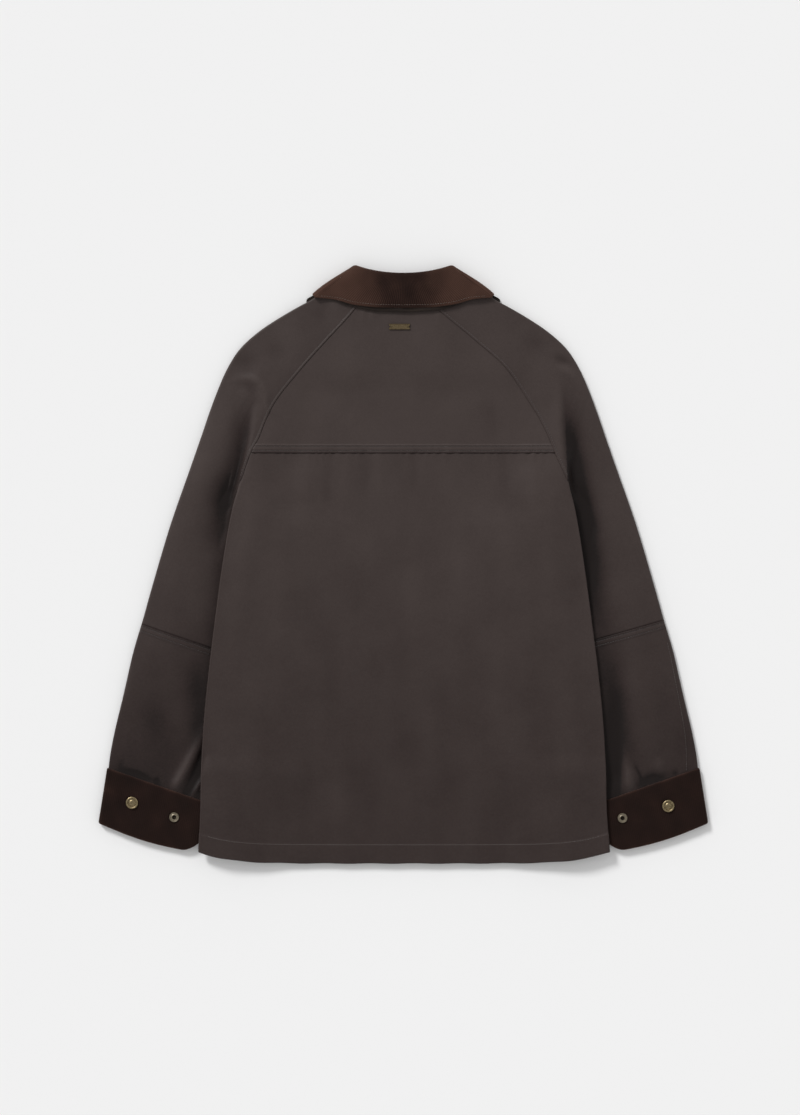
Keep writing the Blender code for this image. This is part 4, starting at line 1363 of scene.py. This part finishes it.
def corduroy():
    made, tree, bsdf = shader("corduroy")
    place = object_place(tree)
    mid, fine = noise(tree, place, 55, 4, 0.6), noise(tree, place, 1500, 3, 0.7)
    # The tone attribute brings in painted light on the ribs, painted shade between them and painted sheen at
    # the collar's sides, along with uneven colour.
    share = weighted(tree, ((mid, 0.5, 0.25), (fine, 0.5, 0.5), (tone_of(tree), 0, 0.5)))
    share = maths(tree, "ADD", share, 0.45)
    stops = ((0.0, (0.004, 0.002, 0.0014)), (0.45, (0.0145, 0.0062, 0.0045)), (1.0, (0.062, 0.031, 0.022)))
    tree.links.new(blend(tree, share, *stops), bsdf.inputs["Base Color"])
    tree.links.new(bump(tree, fine, 0.5, 0.0003), bsdf.inputs["Normal"])
    set_inputs(bsdf, Roughness=0.85, Sheen_Weight=0.28, Sheen_Roughness=0.35, Sheen_Tint=(0.75, 0.5, 0.4, 1),
               Specular_IOR_Level=0.12)
    return made


def antique_brass(name, dark, light, rough):
    made, tree, bsdf = shader(name)
    place = object_place(tree)
    patches, fine = noise(tree, place, 420, 4, 0.6), noise(tree, place, 2600, 2)
    share = maths(tree, "ADD", weighted(tree, ((patches, 0.5, 1.2), (fine, 0.5, 0.4))), 0.5)
    tree.links.new(blend(tree, share, (0.15, dark), (0.85, light)), bsdf.inputs["Base Color"])
    gloss = maths(tree, "ADD", weighted(tree, ((patches, 0.5, -0.4),)), rough)
    tree.links.new(gloss, bsdf.inputs["Roughness"])
    tree.links.new(bump(tree, fine, 0.15, 0.0001), bsdf.inputs["Normal"])
    set_inputs(bsdf, Metallic=1.0)
    return made


def thread(name, dark, light):
    made, tree, bsdf = shader(name)
    place = object_place(tree)
    strands = noise(tree, place, 2400, 2)
    tree.links.new(blend(tree, strands, (0.3, dark), (0.7, light)), bsdf.inputs["Base Color"])
    tree.links.new(bump(tree, strands, 0.4, 0.0001), bsdf.inputs["Normal"])
    set_inputs(bsdf, Roughness=0.6, Sheen_Weight=0.3)
    return made


# Floor, light and camera

FLOOR_SIZE = 24
CAMERA_HEIGHT = 3000
FIELD_LENGTH = 1416        # what the long side of the picture takes in at the cloth's top
CLOTH_TOP = 10
AIM = (-4.2, 8.3)
SENSOR = 36
FLOOR_SHADE = 0.9
KEY_STRENGTH = 2.25
KEY_ANGLE = 14             # degrees across, so that its shadows are soft
KEY_DIRECTION = (0.55, -0.8, -0.57)
SKY_AT_HORIZON, SKY_OVERHEAD = 1.12, 0.36


def floor():
    bpy.ops.mesh.primitive_plane_add(size=FLOOR_SIZE, location=(0, 0, -0.0001))
    made = bpy.context.object
    made.name = "floor"
    look, _, bsdf = shader("floor")
    colour = (FLOOR_SHADE, FLOOR_SHADE, FLOOR_SHADE, 1)
    set_inputs(bsdf, Base_Color=colour, Roughness=0.95, Specular_IOR_Level=0.0)
    made.data.materials.append(look)


def lights():
    """A soft key light from the upper left, and a sky that is brighter towards its horizon."""
    sun = bpy.data.lights.new("key", "SUN")
    sun.energy = KEY_STRENGTH
    sun.angle = math.radians(KEY_ANGLE)
    key = bpy.data.objects.new("key", sun)
    key.rotation_euler = Vector(KEY_DIRECTION).to_track_quat("-Z", "Y").to_euler()
    bpy.context.scene.collection.objects.link(key)
    world = bpy.data.worlds.new("studio")
    world.use_nodes = True
    tree = world.node_tree
    direction = add(tree, "ShaderNodeTexCoord").outputs["Generated"]
    up = add(tree, "ShaderNodeSeparateXYZ", {0: direction}).outputs["Z"]
    sky = blend(tree, up, (0.0, (SKY_AT_HORIZON,) * 3), (1.0, (SKY_OVERHEAD,) * 3))
    tree.links.new(sky, tree.nodes["Background"].inputs["Color"])
    tree.nodes["Background"].inputs["Strength"].default_value = 1.0
    bpy.context.scene.world = world
    bpy.context.scene.view_settings.view_transform = "Standard"


def camera():
    data = bpy.data.cameras.new("camera")
    data.sensor_width = SENSOR
    data.lens = SENSOR * CAMERA_HEIGHT / FIELD_LENGTH
    made = bpy.data.objects.new("camera", data)
    made.location = (AIM[0] * MM, AIM[1] * MM, (CAMERA_HEIGHT + CLOTH_TOP) * MM)
    bpy.context.scene.collection.objects.link(made)
    bpy.context.scene.camera = made


def declare(made, node, cut):
    width, length, filled = CUTS[cut]
    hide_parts(node)


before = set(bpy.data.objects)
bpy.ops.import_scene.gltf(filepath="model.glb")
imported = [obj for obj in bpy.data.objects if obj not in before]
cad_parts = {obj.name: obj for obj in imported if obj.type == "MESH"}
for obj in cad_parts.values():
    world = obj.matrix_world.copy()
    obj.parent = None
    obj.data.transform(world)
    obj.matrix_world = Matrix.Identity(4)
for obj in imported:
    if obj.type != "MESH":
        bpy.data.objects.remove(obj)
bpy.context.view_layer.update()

WAXED = waxed_cotton("waxed_cotton", (0.0275, 0.0185, 0.017), (0.049, 0.0365, 0.0335), (0.079, 0.061, 0.056))
# The under collar is the same waxed cotton in a darker copy, which is painted shade beneath the collar's
# fall.
WAXED_SHADED = waxed_cotton("under_collar", (0.008, 0.0055, 0.0042), (0.016, 0.011, 0.0085),
                          (0.03, 0.021, 0.016))
CORDUROY = corduroy()
BRASS = antique_brass("antique_brass", (0.12, 0.09, 0.05), (0.42, 0.34, 0.2), 0.38)
PLATE_BRASS = antique_brass("plate_brass", (0.07, 0.05, 0.028), (0.3, 0.23, 0.13), 0.42)
SOCKET_BRASS = antique_brass("socket_brass", (0.12, 0.1, 0.075), (0.36, 0.31, 0.23), 0.4)
DARK_METAL = antique_brass("dark_brass", (0.01, 0.008, 0.006), (0.03, 0.024, 0.018), 0.6)
THREAD = thread("thread", (0.028, 0.0215, 0.019), (0.066, 0.051, 0.045))
DARK_THREAD = thread("dark_thread", (0.012, 0.009, 0.008), (0.03, 0.023, 0.021))
COLLAR_THREAD = thread("collar_thread", (0.05, 0.03, 0.022), (0.11, 0.07, 0.05))

yoke, back = back_yoke(), back_panel()
declare(yoke, "back_yoke", "back_yoke")
declare(back, "back_panel", "back_panel")
arms = {}
for each_side in SIGN:
    declare(front(each_side), f"front_{each_side}", "front")
    arms.update(sleeve(each_side))
    declare(cuff(each_side), f"cuff_{each_side}", "cuff")
    cap(f"snap_cap_{each_side}", f"cuff_cap_{each_side}", 1.8)
    socket(each_side)
for node, made in arms.items():
    declare(made, node, node.rsplit("_", 1)[0])
collar = collar_top()
declare(collar, "collar_top", "collar_top")
declare(collar_under(), "collar_under", "collar_under")
for number in range(1, 6):
    cap(f"snap_cap_front_{number}", f"front_cap_{number}", 1.1, down=True)
nameplate()

backs = surface_of([yoke, back] + [made for name, made in arms.items() if "back" in name])
stitches("stitches_yoke", yoke_paths(), backs, DARK_THREAD)
stitches("stitches_raglan", raglan_paths(), backs, THREAD)
stitches("stitches_elbow", [path for each_side in SIGN for path in elbow_paths(each_side)], backs,
         DARK_THREAD)
stitches("stitches_overarm", [overarm_path()], backs, THREAD)
stitches("stitches_hem", [hem_path()], backs, THREAD)
stitches("stitches_collar", [collar_path()], surface_of([collar]), COLLAR_THREAD)
stitches("stitches_lap", lap_paths(), surface_of([bpy.data.objects["front_cloth_right"]]), THREAD, below=True)

floor()
lights()
camera()
